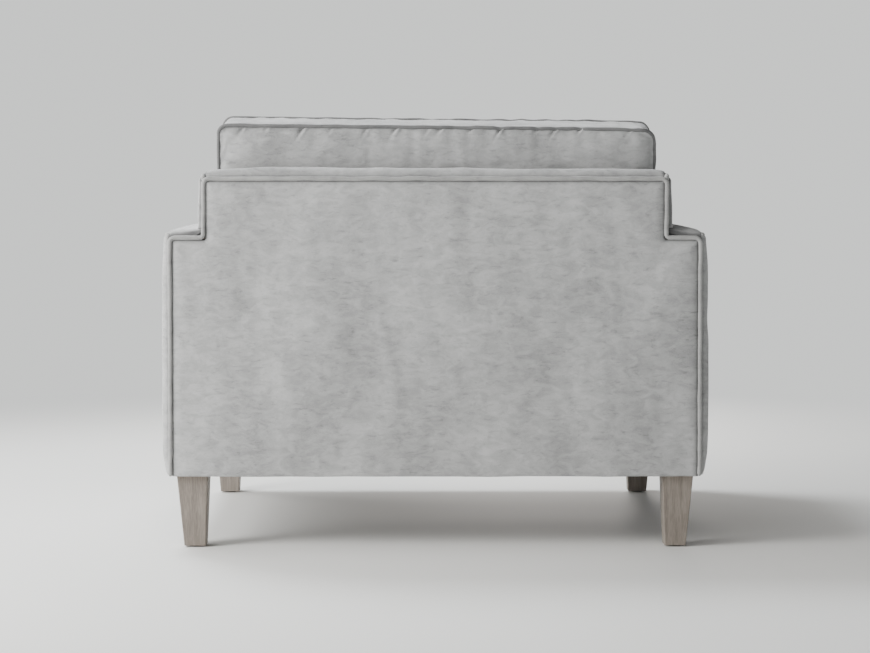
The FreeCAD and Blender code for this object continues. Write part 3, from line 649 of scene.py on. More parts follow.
def arm_section():
    """An arm's top and inner side from the top welt: (x, z), (normal x, z), end radius."""
    lift = np.linspace(np.pi / 4, np.pi / 2, 7)
    crest = np.linspace(PANEL_X, ARM_IN + INNER_ROLL, 10)[1:-1]
    turn = np.linspace(np.pi / 2, np.pi, 8)
    drop = spaced((ARM_TOP - INNER_ROLL, 0.010), (UNDER + 0.004, 0))[1:]
    x = np.concatenate([
        PANEL_X + ROLL * np.cos(lift), crest, ARM_IN + INNER_ROLL + INNER_ROLL * np.cos(turn),
        np.full(len(drop), ARM_IN)])
    z = np.concatenate([ARM_WELT_Z + ROLL * np.sin(lift), np.full(len(crest), ARM_TOP),
                        ARM_TOP - INNER_ROLL + INNER_ROLL * np.sin(turn), drop])
    angle = np.concatenate([lift, np.full(len(crest), np.pi / 2), turn, np.full(len(drop), np.pi)])
    end = INNER_ROLL + (ROLL - INNER_ROLL) * smooth(x, ARM_IN, PANEL_X)
    return x, z, np.cos(angle), np.sin(angle), end


def inside_arm(side, turns=8, straights=96):
    """An arm's top and inner cover: its section carried front to rear.

    At each end the section shrinks towards the outline of the end's welt on a quarter circle
    of the section's own end radius. Beside the back that rear turn is squarer: the circle's
    sine and cosine are raised to a power below one. The top is crowned, fuller along its
    inner edge, and the side swells below that.
    """
    x, z, nx, nz, end = arm_section()
    fullness = 0.40 + 0.60 * smooth(x, ARM_IN + 0.008, ARM_IN + 0.05)
    turn = np.linspace(np.pi / 2, 0, turns)
    column = np.concatenate([turn, np.zeros(straights - 2), -turn[::-1]])
    travel = np.concatenate([np.full(turns, -1.0), np.linspace(-1, 1, straights)[1:-1],
                             np.full(turns, 1.0)])
    end = np.where(travel > 0, ROLL, end[:, None])
    power = np.where(travel > 0, fullness[:, None], 1.0)
    side_x = x[:, None] - nx[:, None] * end
    side_z = z[:, None] - nz[:, None] * end
    y = travel * (BODY_Y - end) - np.sign(column) * np.abs(np.sin(column)) ** power * end
    along = np.concatenate([[0], np.cumsum(np.hypot(np.diff(x), np.diff(z)))])[:, None]
    reach = BODY_Y - np.abs(y)
    over_top = np.sin(np.pi * np.clip(along / 0.075, 0, 1))
    inner_edge = smooth(along, 0.020, 0.055) * (1 - smooth(along, 0.070, 0.095))
    below = smooth(along, 0.09, 0.18) * (1 - smooth(along, 0.24, 0.34))
    crown = 0.003 * over_top * smooth(reach, 0, 0.05)
    crown = crown + (0.0045 * inner_edge + 0.0025 * below) * smooth(reach, 0, 0.08)
    dip = 0.0022 * np.exp(-along / PULL) + 0.0026 * np.exp(-reach / PULL)
    # beside the back the inner top edge is square: out to the corner from the quarter circle
    square = 1 / np.maximum(np.abs(nx), np.abs(nz))[:, None] - 1
    square = square * (x < ARM_IN + INNER_ROLL - 1e-6)[:, None]
    square = 0.9 * square * smooth(y, BACK_TOP_FRONT - 0.035, BACK_TOP_FRONT - 0.012)
    spread = end * np.maximum(np.cos(column), 0) ** power * (1 + square) + crown - dip
    points = np.stack([side_x + nx[:, None] * spread, y, side_z + nz[:, None] * spread], -1)
    wander = swollen(points, 41 if side > 0 else 51, 0.0016)
    wander = wander * smooth(along, 0, 0.03) * smooth(reach, 0, 0.03)
    points[..., 0] += nx[:, None] * wander
    points[..., 2] += nz[:, None] * wander
    points = points + SHOULDER * (np.cos(column) * np.exp(-along / 0.028))[..., None]
    middle = points[:-1, :-1] / 2 + points[1:, 1:] / 2
    keep = (middle[..., 2] > DECK - 0.03) | (middle[..., 1] < -BODY_Y + INNER_ROLL + 0.003)
    cover("arm_inside_" + SIDES[side], handed(points, side), (side * 0.5, 0, 0.4), 0.5,
          ["inside_arm_cover_" + SIDES[side], "arm_foam"], keep=keep,
          away=np.minimum(along, reach))


def arm_front(side):
    """The piped facing on an arm's front: a crowned upright panel with a folded hem."""
    inner, outer = ARM_IN + INNER_ROLL, PANEL_X
    edge = WELT / 5
    x = spaced((inner + edge, 0.0025), (outer - edge, 0))
    z, offset = hem(spaced((UNDER + 0.005, 0.007), (ARM_WELT_Z - 0.03, 0.0025),
                           (ARM_WELT_Z - edge, 0)))
    grid_x, grid_z = np.meshgrid(x, z)
    away = np.minimum(np.minimum(grid_x - inner, outer - grid_x), ARM_WELT_Z - grid_z) - edge
    place = np.stack([grid_x * side, 0 * grid_x, grid_z], -1)
    rise = 0.0070 * quarter(away, 0.018) + 0.0006 * ripple(place, 0.08, 61) * smooth(away, 0, 0.01)
    y = -(BODY_Y + 0.0005 + offset[:, None] + rise)
    points = np.stack([grid_x, y, grid_z], -1)
    cover("arm_front_" + SIDES[side], handed(points, side), (side * 0.5, 0, 0.4), 0.4,
          ["arm_front_facing_" + SIDES[side]], away=away)


def inside_back():
    """The back's padded front and top: its side outline carried across the chair.

    The outline goes up the leaning front, round a quarter circle of ROLL, over the top and
    down a second one to the rear welt. It sinks towards the gussets and swells between.
    """
    corners = [(0, BACK_FRONT, BACK_LOW), (0, BACK_TOP_FRONT, BACK_TOP), (0, BODY_Y, BACK_TOP),
               (0, BODY_Y, PANEL_TOP)]
    outline, along = resample(rounded(corners, [0, ROLL, ROLL * 0.999, 0], steps=10), 0.0035)
    ahead = np.gradient(outline, axis=0)
    ahead /= np.linalg.norm(ahead, axis=1)[:, None]
    normal = np.stack([0 * along, -ahead[:, 2], ahead[:, 1]], -1)
    edge = BACK_HALF - 0.001
    x = even_ends(edge, 0.02, 0.002, 0.008)
    grid_x, run = np.meshgrid(x, along)
    points = outline[:, None] + np.stack([grid_x, 0 * run, 0 * run], -1)
    ends = edge - np.abs(grid_x)
    finish = along[-1] - run
    crown = 0.0030 * smooth(ends, 0, 0.12) * smooth(finish, 0, 0.05)
    on_top = smooth(run, along[-1] - 0.16, along[-1] - 0.10)
    at_welt = 0.0055 * np.exp(-finish / 0.008) * smooth(ends, 0.002, 0.020)
    at_ends = 0.0040 * (1 - quarter(ends, 0.012)) + 0.0030 * on_top * (1 - quarter(ends, 0.030))
    wander = swollen(points, 71, 0.0022) * smooth(ends, 0, 0.03) * smooth(finish, 0, 0.02)
    pucker = 0.0010 * ripple(points, 0.03, 74) * np.exp(-finish / 0.012) * smooth(ends, 0, 0.02)
    out = crown - at_welt - at_ends + wander + pucker
    points = points + normal[:, None] * out[..., None]
    cover("inside_back_pad", points, (0, 0.40, 0.5), 0.6, ["inside_back_cover", "back_foam"],
          away=np.minimum(ends, finish))


def back_gusset():
    """The back's side pads above the arms: panels puffed by a quarter circle from their edges."""
    inset, corner = 0.0095, 0.013
    top = BACK_TOP - inset
    z = spaced((ARM_TOP + 0.0005, 0.005), (BACK_TOP - 0.026, 0.0025), (top, 0))[:, None]
    front = BACK_TOP_FRONT - (BACK_TOP - z) * math.tan(RECLINE) + inset
    y = front + (BODY_Y - front) * np.linspace(0, 1, 24)
    to_end = np.minimum(y - front, BODY_Y - y)
    cut = np.maximum(corner - to_end, 0)
    droop = 0.003 + corner - np.sqrt(np.maximum(corner**2 - cut**2, 0))
    grid_z = z - droop * smooth(z, BACK_TOP - 0.04, top)
    away = np.minimum(to_end, z[-1] - z)
    puff = 0.0125 - 0.0030 * smooth(grid_z, ARM_TOP + 0.02, BACK_TOP - 0.02)
    x = ARM_IN + 0.0005 + puff * quarter(away, 0.013)
    points = np.stack([x, y, grid_z], -1)
    points[..., 0] += 0.0010 * ripple(points, 0.06, 81) * smooth(away, 0, 0.02)
    pads = [handed(points, side) for side in SIDES]
    quads = cells(*points.shape[:2])
    left = facing(pads[0], quads, (0.2, 0.4, 0.6))
    right = facing(pads[1], quads, (-0.2, 0.4, 0.6)) + away.size
    made = thicken(piece("back_side_pads", np.stack(pads), np.concatenate([left, right]), velvet,
                         away=np.stack([away, away])))
    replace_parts(made, "back_gussets")


def front_border():
    """The seat's padded front below the cushion, rolling over onto the deck."""
    join = high("front_border_cover")[1]
    z, offset = hem(spaced((UNDER + 0.004, 0.006), (DECK - ROLL, 0)))
    turn = np.linspace(0, np.pi / 2, 9)[1:]
    depth = spaced((-BODY_Y + ROLL, 0.008), (join, 0))[1:]
    y = np.concatenate([-BODY_Y - offset, -BODY_Y + ROLL - ROLL * np.cos(turn), depth])
    z = np.concatenate([z, DECK - ROLL + ROLL * np.sin(turn), np.full(len(depth), DECK)])
    ny = np.concatenate([np.full(len(offset), -1.0), -np.cos(turn), 0 * depth])
    nz = np.concatenate([0 * offset, np.sin(turn), np.ones(len(depth))])
    x = even_ends(BACK_HALF, 0.015, 0.003, 0.009)
    ends = BACK_HALF - np.abs(x)[None, :]
    points = np.stack([x + 0 * z[:, None], y[:, None] + 0 * x, z[:, None] + 0 * x], -1)
    on_front = smooth(-y, BODY_Y - ROLL - 0.01, BODY_Y - ROLL)[:, None]
    middle = smooth(z, UNDER, UNDER + 0.06) * smooth(z, DECK, DECK - 0.05)
    push = (0.0030 * middle[:, None] + swollen(points, 91, 0.0012)) * smooth(ends, 0, 0.05)
    push = push * on_front - 0.003 * np.exp(-ends / PULL) - 0.0012 * (1 - on_front)
    points[..., 1] += ny[:, None] * push
    points[..., 2] += nz[:, None] * push
    cover("front_border_panel", points, (0, 0, 0.2), 0.4,
          ["front_border_cover", "front_border_foam"])


def deck():
    """The plain cloth under the seat cushion: level, sunk a little between its edges."""
    lo, hi = low("deck_cover"), high("deck_cover")
    x, y = np.linspace(lo[0], hi[0], 110), np.linspace(lo[1] - 0.002, hi[1], 72)
    grid_x, grid_y = np.meshgrid(x, y)
    place = np.stack([grid_x, grid_y, 0 * grid_x], -1)
    away = np.minimum(np.minimum(grid_x - x[0], x[-1] - grid_x),
                      np.minimum(grid_y - y[0], y[-1] - grid_y))
    spring = np.cos(grid_x * 2 * np.pi / SPRING_PITCH)
    sag = 0.0022 + 0.0009 * spring + 0.0010 * ripple(place, 0.12, 95)
    z = hi[2] - 0.0008 - sag * smooth(away, 0, 0.08)
    z -= 0.0010 * np.exp(-((grid_y - y[0] - 0.006) / 0.002) ** 2)  # the seam behind the border
    cover("seat_deck", np.stack([grid_x, grid_y, z], -1), (0, 0, 0), 0.5,
          ["deck_cover", "deck_pad"], deck_weave, slot="deck_cloth")


def underside():
    """The black cloth stapled under the frame, sagging a little between its rails."""
    lo, hi = low("dust_cover") + [0.016, 0.010, 0], high("dust_cover") - [0.016, 0.006, 0]
    corner = 0.016
    x = spaced((lo[0], 0.006), (lo[0] + 0.03, 0.02), (hi[0] - 0.03, 0.006), (hi[0], 0))
    y = spaced((lo[1], 0.006), (lo[1] + 0.03, 0.02), (hi[1] - 0.03, 0.006), (hi[1], 0))
    grid_x, grid_y = np.meshgrid(x, y)
    place = np.stack([grid_x, grid_y, 0 * grid_x], -1)
    inset = np.maximum(np.abs(grid_x) - (hi[0] - corner), 0)
    most_y = hi[1] - corner + np.sqrt(np.maximum(corner**2 - inset**2, 0))
    grid_y = np.clip(grid_y, lo[1] + hi[1] - most_y, most_y)
    sag = smooth(0.44 - np.abs(grid_x), 0, 0.2) * smooth(0.38 - np.abs(grid_y), 0, 0.2)
    z = hi[2] - 0.0002 - sag * (0.004 + 0.0012 * ripple(place, 0.18, 97))
    made = sheet("dust_sheet", np.stack([grid_x, grid_y, z], -1), (0, 0, 1), dust_weave,
                 slot="dust_cloth")
    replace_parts(made, "dust_cover")


outside_back()
for side in SIDES:
    outside_arm(side)
    inside_arm(side)
    arm_front(side)
inside_back()
back_gusset()
front_border()
deck()
underside()

# ---- welts of the body ---------------------------------------------------------------------
FOOT = UNDER + 0.001  # where the upright welts start
EASY, TIGHT = 0.011, 0.006  # how a welt turns outside and inside corners
left_half = [(PANEL_X, WELT_Y, FOOT), (PANEL_X, WELT_Y, ARM_WELT_Z), (ARM_IN, WELT_Y, ARM_WELT_Z),
             (ARM_IN, WELT_Y, PANEL_TOP)]
rear_line = rounded([*left_half, *handed(np.array(left_half[::-1]), -1)],
                    [0, EASY, TIGHT, EASY, EASY, TIGHT, EASY, 0])
cords("rear_welt", [tube(rear_line, (0, 1, 0), BODY_WELT, seed=3)], welt_velvet, ["back_welt"])

bend = np.linspace(0, math.radians(74), 11)
reach = ROLL - 0.0012 - 0.0028 * np.sin(bend) ** 2
lean = reach * np.cos(bend) / math.sqrt(2)
arc = np.stack([PANEL_X + lean, ROLL - BODY_Y - reach * np.sin(bend), ARM_WELT_Z + lean], -1)
arc = arc + SHOULDER * np.cos(bend)[:, None]
arm_line = np.concatenate([arc[::-1], arc * [1, -1, 1]])
cords("arm_top_welts", [tube(arm_line, (1, 0, -1), BODY_WELT, seed=13),
                        tube(handed(arm_line, -1), (1, 0, 1), BODY_WELT, seed=23)],
      welt_velvet, ["arm_outer_welts"])

inner_x = ARM_IN + INNER_ROLL
front_line = rounded([(inner_x, -WELT_Y, FOOT), (inner_x, -WELT_Y, ARM_WELT_Z),
                      (PANEL_X, -WELT_Y, ARM_WELT_Z), (PANEL_X, -WELT_Y, FOOT)],
                     [0, EASY, EASY, 0])
for side, name in SIDES.items():
    cords("arm_front_piping_" + name, [tube(handed(front_line, side), (0, 1, 0), seed=33 + side)],
          welt_velvet, ["arm_front_welt_" + name])

gusset_x = ARM_IN + WELT - 0.0015
behind = BACK_TOP_FRONT + WELT / math.cos(RECLINE)
start_z = ARM_TOP + 0.003
gusset_line = rounded(
    [(gusset_x, behind - (BACK_TOP - start_z) * math.tan(RECLINE), start_z),
     (gusset_x - 0.001, behind, BACK_TOP - WELT - 0.006),
     (gusset_x - 0.0025, BODY_Y - 0.006, BACK_TOP - WELT - 0.0075),
     (gusset_x - 0.0050, BODY_Y + 0.002, BACK_TOP - 0.022)], [0, 0.0127, 0.010, 0])
cords("gusset_piping", [tube(gusset_line, (1, 0, 0), seed=43),
                        tube(handed(gusset_line, -1), (1, 0, 0), seed=53)],
      welt_velvet, ["back_gusset_welts"])

# ---- loose cushions ------------------------------------------------------------------------


def rounded_square(u, v, half_u, half_v, radius):
    """A grid over a rectangle with round corners.

    Outside the corners the grid is straight. In a corner, (a, b) counted in radii goes to
    (a sqrt(1 - b b / 2), b sqrt(1 - a a / 2)), which lays a square onto a quarter disc.
    """
    a = np.maximum(np.abs(u) - (half_u - radius), 0) / radius
    b = np.maximum(np.abs(v) - (half_v - radius), 0) / radius
    new_a, new_b = a * np.sqrt(1 - b * b / 2), b * np.sqrt(1 - a * a / 2)
    return (np.where(a > 0, np.sign(u) * (half_u - radius + radius * new_a), u),
            np.where(b > 0, np.sign(v) * (half_v - radius + radius * new_b), v))


def box_cushion(half_u, half_v, radius, steps, heights):
    """A piped box cushion in its own numbers (u, v, w): two panels and the border between.

    w runs 0 to 1 from the first panel to the second. Returns the points, the quads of each
    panel and of the border, which points are on the border, the first panel's edge loop and
    how many points a panel has.
    """
    u, v = (even_ends(half, radius, radius / 5, steps) for half in (half_u, half_v))
    grid_v, grid_u = np.meshgrid(v, u, indexing="ij")
    pu, pv = rounded_square(grid_u, grid_v, half_u, half_v, radius)
    rows, columns = grid_u.shape
    number = np.arange(rows * columns).reshape(rows, columns)
    loop = np.concatenate([number[0, :-1], number[:-1, -1], number[-1, :0:-1], number[:0:-1, 0]])
    flat = np.stack([pu.ravel(), pv.ravel()], -1)
    parts = [(flat, 0), (flat, 1), *[(flat[loop], height) for height in heights]]
    points = np.concatenate([np.pad(part, ((0, 0), (0, 1)), constant_values=height)
                             for part, height in parts])
    quads = cells(rows, columns)
    count = len(flat)
    between = 2 * count + np.arange(len(heights) * len(loop)).reshape(len(heights), -1)
    strips = np.concatenate([[loop], between, [loop + count]])
    ahead = np.roll(strips, -1, 1)
    border = np.stack([strips[:-1], ahead[:-1], ahead[1:], strips[1:]], -1).reshape(-1, 4)
    on_border = np.arange(len(points)) >= 2 * count
    return points, [quads[:, ::-1], quads + count, border], on_border, loop, count


def read(values, field):
    """A field of three numbers each, as one array."""
    out = np.zeros(len(values) * 3)
    values.foreach_get(field, out)
    return out.reshape(-1, 3)


def places(mesh):
    return read(mesh.vertices, "co")


def push_out(mesh, amount):
    """Moves each point along the surface's own normal."""
    set_places(mesh, places(mesh) + read(mesh.vertex_normals, "vector") * amount[:, None])


def set_places(mesh, points):
    """Moves a mesh's points to new places."""
    mesh.vertices.foreach_set("co", points.ravel())
    mesh.update()


def inflate(made, pinned, cap):
    """Blows a cushion up as cloth held at its seams, and limits how far each point moves.

    A point that the cloth moved by d ends up at cap * tanh(d / cap) along the same line.
    """
    mesh = made.data
    held = made.vertex_groups.new(name="seams")
    held.add(np.nonzero(pinned)[0].tolist(), 1.0, "REPLACE")
    cloth = made.modifiers.new("cloth", "CLOTH")
    s = cloth.settings
    s.quality = 5
    s.mass = 0.3
    s.tension_stiffness = s.compression_stiffness = 15
    s.shear_stiffness = 5
    s.bending_stiffness = 0.5
    s.use_pressure = True
    s.uniform_pressure_force = PRESSURE
    s.shrink_min = SHRINK
    s.vertex_group_mass = "seams"
    s.effector_weights.gravity = 0
    cloth.point_cache.frame_start, cloth.point_cache.frame_end = 1, FRAMES
    rest = places(mesh)
    for frame_number in range(1, FRAMES + 1):
        bpy.context.scene.frame_set(frame_number)
    blown = made.evaluated_get(bpy.context.evaluated_depsgraph_get())
    shift = places(blown.data) - rest
    made.modifiers.remove(cloth)
    bpy.context.scene.frame_set(1)
    length = np.linalg.norm(shift, axis=1)
    shift *= (cap * np.tanh(length / np.maximum(cap, 1e-6)) / np.maximum(length, 1e-9))[:, None]
    set_places(mesh, rest + shift)


def refine(made):
    """Subdivides a cushion twice, applied, so that finer folds can be laid on it."""
    more = made.modifiers.new("finer", "SUBSURF")
    more.levels = more.render_levels = 2
    more.use_limit_surface = False
    bpy.context.view_layer.update()
    fine = bpy.data.meshes.new_from_object(
        made.evaluated_get(bpy.context.evaluated_depsgraph_get()))
    made.modifiers.remove(more)
    old, made.data = made.data, fine
    bpy.data.meshes.remove(old)
    fine.name = made.name


def sharpen(mesh, seams):
    """Full creases along the seams, so that subdividing keeps them where they are sewn."""
    pairs = np.zeros(len(mesh.edges) * 2, int)
    mesh.edges.foreach_get("vertices", pairs)
    pairs = pairs.reshape(-1, 2)
    crease = np.zeros(len(pairs))
    for loop in seams:
        crease[np.isin(pairs, loop).all(1)] = 1
    mesh.attributes.new("crease_edge", "FLOAT", "EDGE").data.foreach_set("value", crease)


def border_rows(depth):
    """Heights of a border's rows, as shares of its depth, closer at the zip pleat's edges."""
    edge = PLEAT_WIDTH / 2 / depth
    pleat = [0.5 - edge - 0.012, 0.5 - edge, 0.5 - edge + 0.012, 0.5, 0.5 + edge - 0.012,
             0.5 + edge, 0.5 + edge + 0.012]
    return [0.10, 0.22, 0.34, *pleat, 0.66, 0.78, 0.90]


def seam_distance(own, sizes):
    """How far a cushion point is from its nearest seam, over the surface."""
    half_u, half_v, thick = sizes
    a = np.maximum(np.abs(own[:, 0]) - (half_u - CORNER), 0)
    b = np.maximum(np.abs(own[:, 1]) - (half_v - CORNER), 0)
    straight = np.minimum(half_u - np.abs(own[:, 0]), half_v - np.abs(own[:, 1]))
    inside = np.where((a > 0) & (b > 0), CORNER - np.hypot(a, b), straight)
    through = np.minimum(own[:, 2], 1 - own[:, 2]) * thick
    return np.hypot(np.maximum(inside, 0), np.maximum(through, 0))


def loose_cushion(name, sizes, steps, heights, lay, unlay, shape, cap, crush, pleat, plane):
    """A piped, stuffed box cushion with a zip pleat.

    A box of two panels and a border is laid out in its own (across, along, through) numbers
    and placed by lay; its seams are pulled in by shape; cloth pressure blows it up between
    them; it is subdivided, and crush gives the folds along the surface's own normal. Its
    welts follow the two seams.
    """
    own, quads, on_border, loop, count = box_cushion(*sizes[:2], CORNER, steps, heights)
    folded = pleat(own, on_border)
    points = lay(shape(own)) + folded
    faces = np.concatenate([facing(points, part, points.mean(0)) for part in quads])
    made = piece(name, points, faces, velvet, body=name)
    sharpen(made.data, [loop, loop + count])
    pinned = folded.any(1)
    pinned[loop] = pinned[loop + count] = True
    most = cap(own, on_border, count)
    inflate(made, pinned, most)
    refine(made)
    fine = places(made.data)
    push_out(made.data, crush(unlay(fine), fine))
    # painted shade along the cushion's seams, for the shadow beside its welts
    paint_seam_shade(made.data, seam_distance(unlay(fine), sizes))
    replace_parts(made, name + "_cover", name + "_core")
    now = places(made.data)
    # the cushions' piping takes the darker velvet copy, painted shade
    cords(name + "_piping",
          [tube(now[loop], plane, CUSHION_WELT, closed=True, seed=113),
           tube(now[loop + count], plane, CUSHION_WELT, closed=True, seed=123)],
          shaded_cushion_cord, [name + "_welts"], body=name)


# the seat cushion
seat_low, seat_high = low("seat_cushion_welts") + WELT, high("seat_cushion_welts") - WELT
seat_middle, seat_half = (seat_low + seat_high) / 2, (seat_high - seat_low) / 2
SEAT = (seat_half[0], seat_half[1], 2 * seat_half[2])  # half width, half depth, thickness


def lay_seat(own):
    """From the cushion's own numbers to places: level, one thickness for w from 0 to 1."""
    return own * [1, 1, SEAT[2]] + [0, seat_middle[1], seat_low[2]]


def unlay_seat(points):
    """The way back from places to the cushion's own numbers."""
    return (points - [0, seat_middle[1], seat_low[2]]) / [1, 1, SEAT[2]]


def shape_seat(own):
    """The seams bow in between the corners: by k (1 - s^2), with s along the seam."""
    u, v = own[:, 0] / SEAT[0], own[:, 1] / SEAT[1]
    out = own.copy()
    out[:, 0] -= 0.0015 * u * (1 - v**2)
    out[:, 1] -= np.where(v < 0, 0.0035, 0.001) * v * (1 - u**2)
    return out


def cap_seat(own, on_border, count):
    """Most at the front of the seat, where nothing lies on it, and least below and behind."""
    cap = np.full(len(own), 0.0034)
    clear = smooth(seat_middle[1] + own[count : 2 * count, 1], 0.13, -0.03)
    cap[count : 2 * count] = 0.0032 + 0.0125 * clear
    cap[on_border] = np.where(own[on_border, 1] < 0.012 - SEAT[1], 0.007, 0.0025)
    return cap


def pleat_seat(own, on_border):
    """Where the rear border folds in round its zip."""
    deep = on_border & (own[:, 1] > SEAT[1] - 1e-4) & (np.abs(own[:, 0]) < SEAT[0] - 0.028)
    deep &= np.abs(own[:, 2] - 0.5) * SEAT[2] < PLEAT_WIDTH / 2 - 1e-4
    return np.where(deep[:, None], [[0, -PLEAT_DEPTH, 0]], 0.0)


def crush_seat(own, points):
    """Puckers beside the seams, and slow dents where the cushion is free above."""
    away = seam_distance(own, SEAT)
    along = points * [1, 1, 0.4]
    pucker = np.exp(-away / 0.018) * smooth(away, 0, 0.006)
    free = smooth(points[:, 1], 0.16, 0.06)
    top = own[:, 2] > 0.9
    out = 0.0011 * ripple(along, 0.030, 131) * pucker
    out += np.where(top, free, 0.35) * smooth(away, 0, 0.06) * (
        0.0022 * ripple(points, 0.30, 132) + 0.0009 * ripple(points, 0.11, 133))
    out += np.where(top, 0.0004, 0.0002) * ripple(points, 0.045, 134) * smooth(away, 0, 0.03)
    rear = points[:, 1] > seat_high[1] - 0.02
    return np.where(rear | (own[:, 2] < 0.1), 0.25, 1.0) * out


loose_cushion("seat_cushion", SEAT, 0.0145, border_rows(SEAT[2]), lay_seat, unlay_seat,
              shape_seat, cap_seat, crush_seat, pleat_seat, (0, 0, 1))

# the back cushion, leaning on the back: up and forward are its own directions
up = np.array([0, math.sin(RECLINE), math.cos(RECLINE)])
forward = np.array([0, -math.cos(RECLINE), math.sin(RECLINE)])
back_low, back_high = low("back_cushion_welts") + WELT, high("back_cushion_welts") - WELT
front_foot = np.array([0, back_low[1], back_low[2]])
front_top = front_foot + up * (back_high[2] - back_low[2]) / up[2]
back_thick = (back_high[1] - front_top[1]) / math.cos(RECLINE)
rear_top = front_top - forward * back_thick
rear_foot = rear_top - up * (rear_top[2] - back_low[2]) / up[2]
foot_depth = (rear_foot - front_foot)[1]
rear_run, front_run = (rear_top - rear_foot) @ up, (front_top - front_foot) @ up
BACK = (back_high[0], (rear_run + front_run) / 4, back_thick)  # as SEAT


def lay_back(own):
    """Between the foot and the top of the rear and front panels, one top end slumping."""
    t, w = (own[:, 1:2] / BACK[1] + 1) / 2, own[:, 2:]
    foot = rear_foot + (front_foot - rear_foot) * w
    top = rear_top + (front_top - rear_top) * w
    points = foot + (top - foot) * t + own * [1, 0, 0]
    return points + SLUMP * up * (own[:, :1] / BACK[0]) * t**2


def unlay_back(points):
    """The way back, without the slump: through from the rear panel, then up between the ends."""
    w = (points - rear_top) @ forward / back_thick
    run = (points - rear_foot) @ up
    start = (rear_run - front_run) * w
    t = (run - start) / (rear_run - start)
    return np.stack([points[:, 0], (2 * t - 1) * BACK[1], w], -1)


def shape_back(own):
    """How the seams are drawn in.

    The side seams bow in between the corners, and the top sinks a little, more at its far
    end. There the side leans in too, and at both ends the rear seam curls round forwards.
    """
    u, v = own[:, 0] / BACK[0], own[:, 1] / BACK[1]
    out = own.copy()
    out[:, 0] -= 0.0015 * u * (1 - v**2)
    far = smooth(-u, 0.80, 1.0)
    out[:, 0] += 0.0030 * smooth(v, 0.60, 1.0) * far * (1 - own[:, 2])
    out[:, 0] -= 0.0085 * far * smooth(v, 0.2, 0.6) * (1 - 0.35 * smooth(v, 0.85, 1.0))
    out[:, 1] -= 0.0030 * smooth(v, 0.5, 1.0) * (1 + 0.7 * far)
    out[:, 1] -= np.where(v > 0, 0.0015, 0.0) * v * (1 - u**2) * smooth(own[:, 2], -0.5, 1.5)
    near_curl = 0.0060 * (1 - quarter(BACK[0] * (1 - u), 0.035))
    far_curl = 0.0160 * (1 - quarter(BACK[0] * (1 + u), 0.048))
    out[:, 2] += (near_curl + far_curl) / back_thick * (1 - own[:, 2])
    return out


def cap_back(own, on_border, count):
    """Most in front, less behind where the cushion clears the back, least at foot and top."""
    cap = np.full(len(own), 0.008)
    cap[:count] = 0.0022 + 0.0110 * smooth(own[:count, 1], BACK[1] * 0.40, BACK[1] * 0.72)
    cap[count : 2 * count] = 0.022
    cap[on_border & (own[:, 1] < -BACK[1] + 0.012)] = 0.0015
    cap[on_border & (own[:, 1] > BACK[1] - 0.012)] = 0.0035
    return cap


def pleat_back(own, on_border):
    """Where the bottom border folds in round its zip."""
    deep = on_border & (own[:, 1] < -BACK[1] + 1e-4) & (np.abs(own[:, 0]) < BACK[0] - 0.055)
    deep &= np.abs(own[:, 2] - 0.5) * foot_depth < PLEAT_WIDTH / 2 - 1e-4
    return np.where(deep[:, None], [[0, 0, PLEAT_DEPTH]], 0.0)


def slanting_creases(u, gap):
    """Short creases down from the rear top seam: each a groove with a ridge beside it.

    Across a crease both are bell curves; down it they fade as a bell of their own length.
    """
    rng = np.random.default_rng(150)
    at = np.linspace(-0.375, 0.375, 14) + rng.uniform(-0.024, 0.024, 14)
    deep, wide = rng.uniform(0.3, 1.6, 14) * 0.0034, rng.uniform(0.0030, 0.0046, 14)
    long = rng.uniform(0.009, 0.020, 14)
    off = (u[:, None] - 0.55 * gap - at) / wide
    creases = deep * (0.9 * np.exp(-((off + 1.5) ** 2)) - 1.6 * np.exp(-(off**2)))
    return (creases * smooth(gap, 0.002, 0.008) * np.exp(-((gap / long) ** 2))).sum(1)


def crush_back(own, points):
    """Creases under the rear top seam, puckers beside the seams, and slow dents between."""
    away = seam_distance(own, BACK)
    u, v, w = own.T
    rear = w < 0.1
    out = np.where(rear, slanting_creases(u, np.maximum(BACK[1] - v, 0)[:, None]), 0.0)
    pucker = np.exp(-away / 0.018) * smooth(away, 0, 0.006)
    out += np.where(rear, 0.3, 1.0) * 0.0012 * ripple(points, 0.030, 154) * pucker
    loose = smooth(away, 0, 0.06) * np.where(rear, 0.45, 1.0)
    loose = loose * np.where((v > BACK[1] - 0.004) & (w > 0.02) & (w < 0.98), 0.3, 1.0)
    out += loose * (0.0026 * ripple(points, 0.26, 155) + 0.0010 * ripple(points, 0.10, 156))
    out += 0.0004 * ripple(points, 0.045, 157) * smooth(away, 0, 0.03)
    lean = rear & (points[:, 2] < BACK_TOP + 0.004)
    foot = points[:, 2] < back_low[2] + 0.01
    return np.where(lean | foot, 0.2, 1.0) * out


loose_cushion("back_cushion", BACK, 0.0125, border_rows(foot_depth), lay_back, unlay_back,
              shape_back, cap_back, crush_back, pleat_back, tuple(forward))

# ---- springs and zips ----------------------------------------------------------------------


def zigzag(half=0.025, about=0.044):
    """One spring's centre line and how far off the outermost spring lies.

    Bars of twice the half width lie across, joined by half circles on alternate sides; about
    is the pitch of the bars before it is fitted to the seat.
    """
    lo, hi = low("seat_springs"), high("seat_springs")
    start, end, level = lo[1] + WIRE, hi[1] - WIRE, (lo[2] + hi[2]) / 2
    steps = 2 * round((end - start) / about)
    pitch = (end - start) / steps
    corners = [(-half, start, level)]
    for i in range(steps):
        x, y = (half, -half)[i % 2], start + i * pitch
        corners += [(x, y, level), (x, y + pitch, level)]
    corners.append((-corners[-1][0], end, level))
    radii = [0, *[pitch / 2 - 1e-5] * (2 * steps), 0]
    return rounded(corners, radii, steps=6), hi[0] - half - WIRE


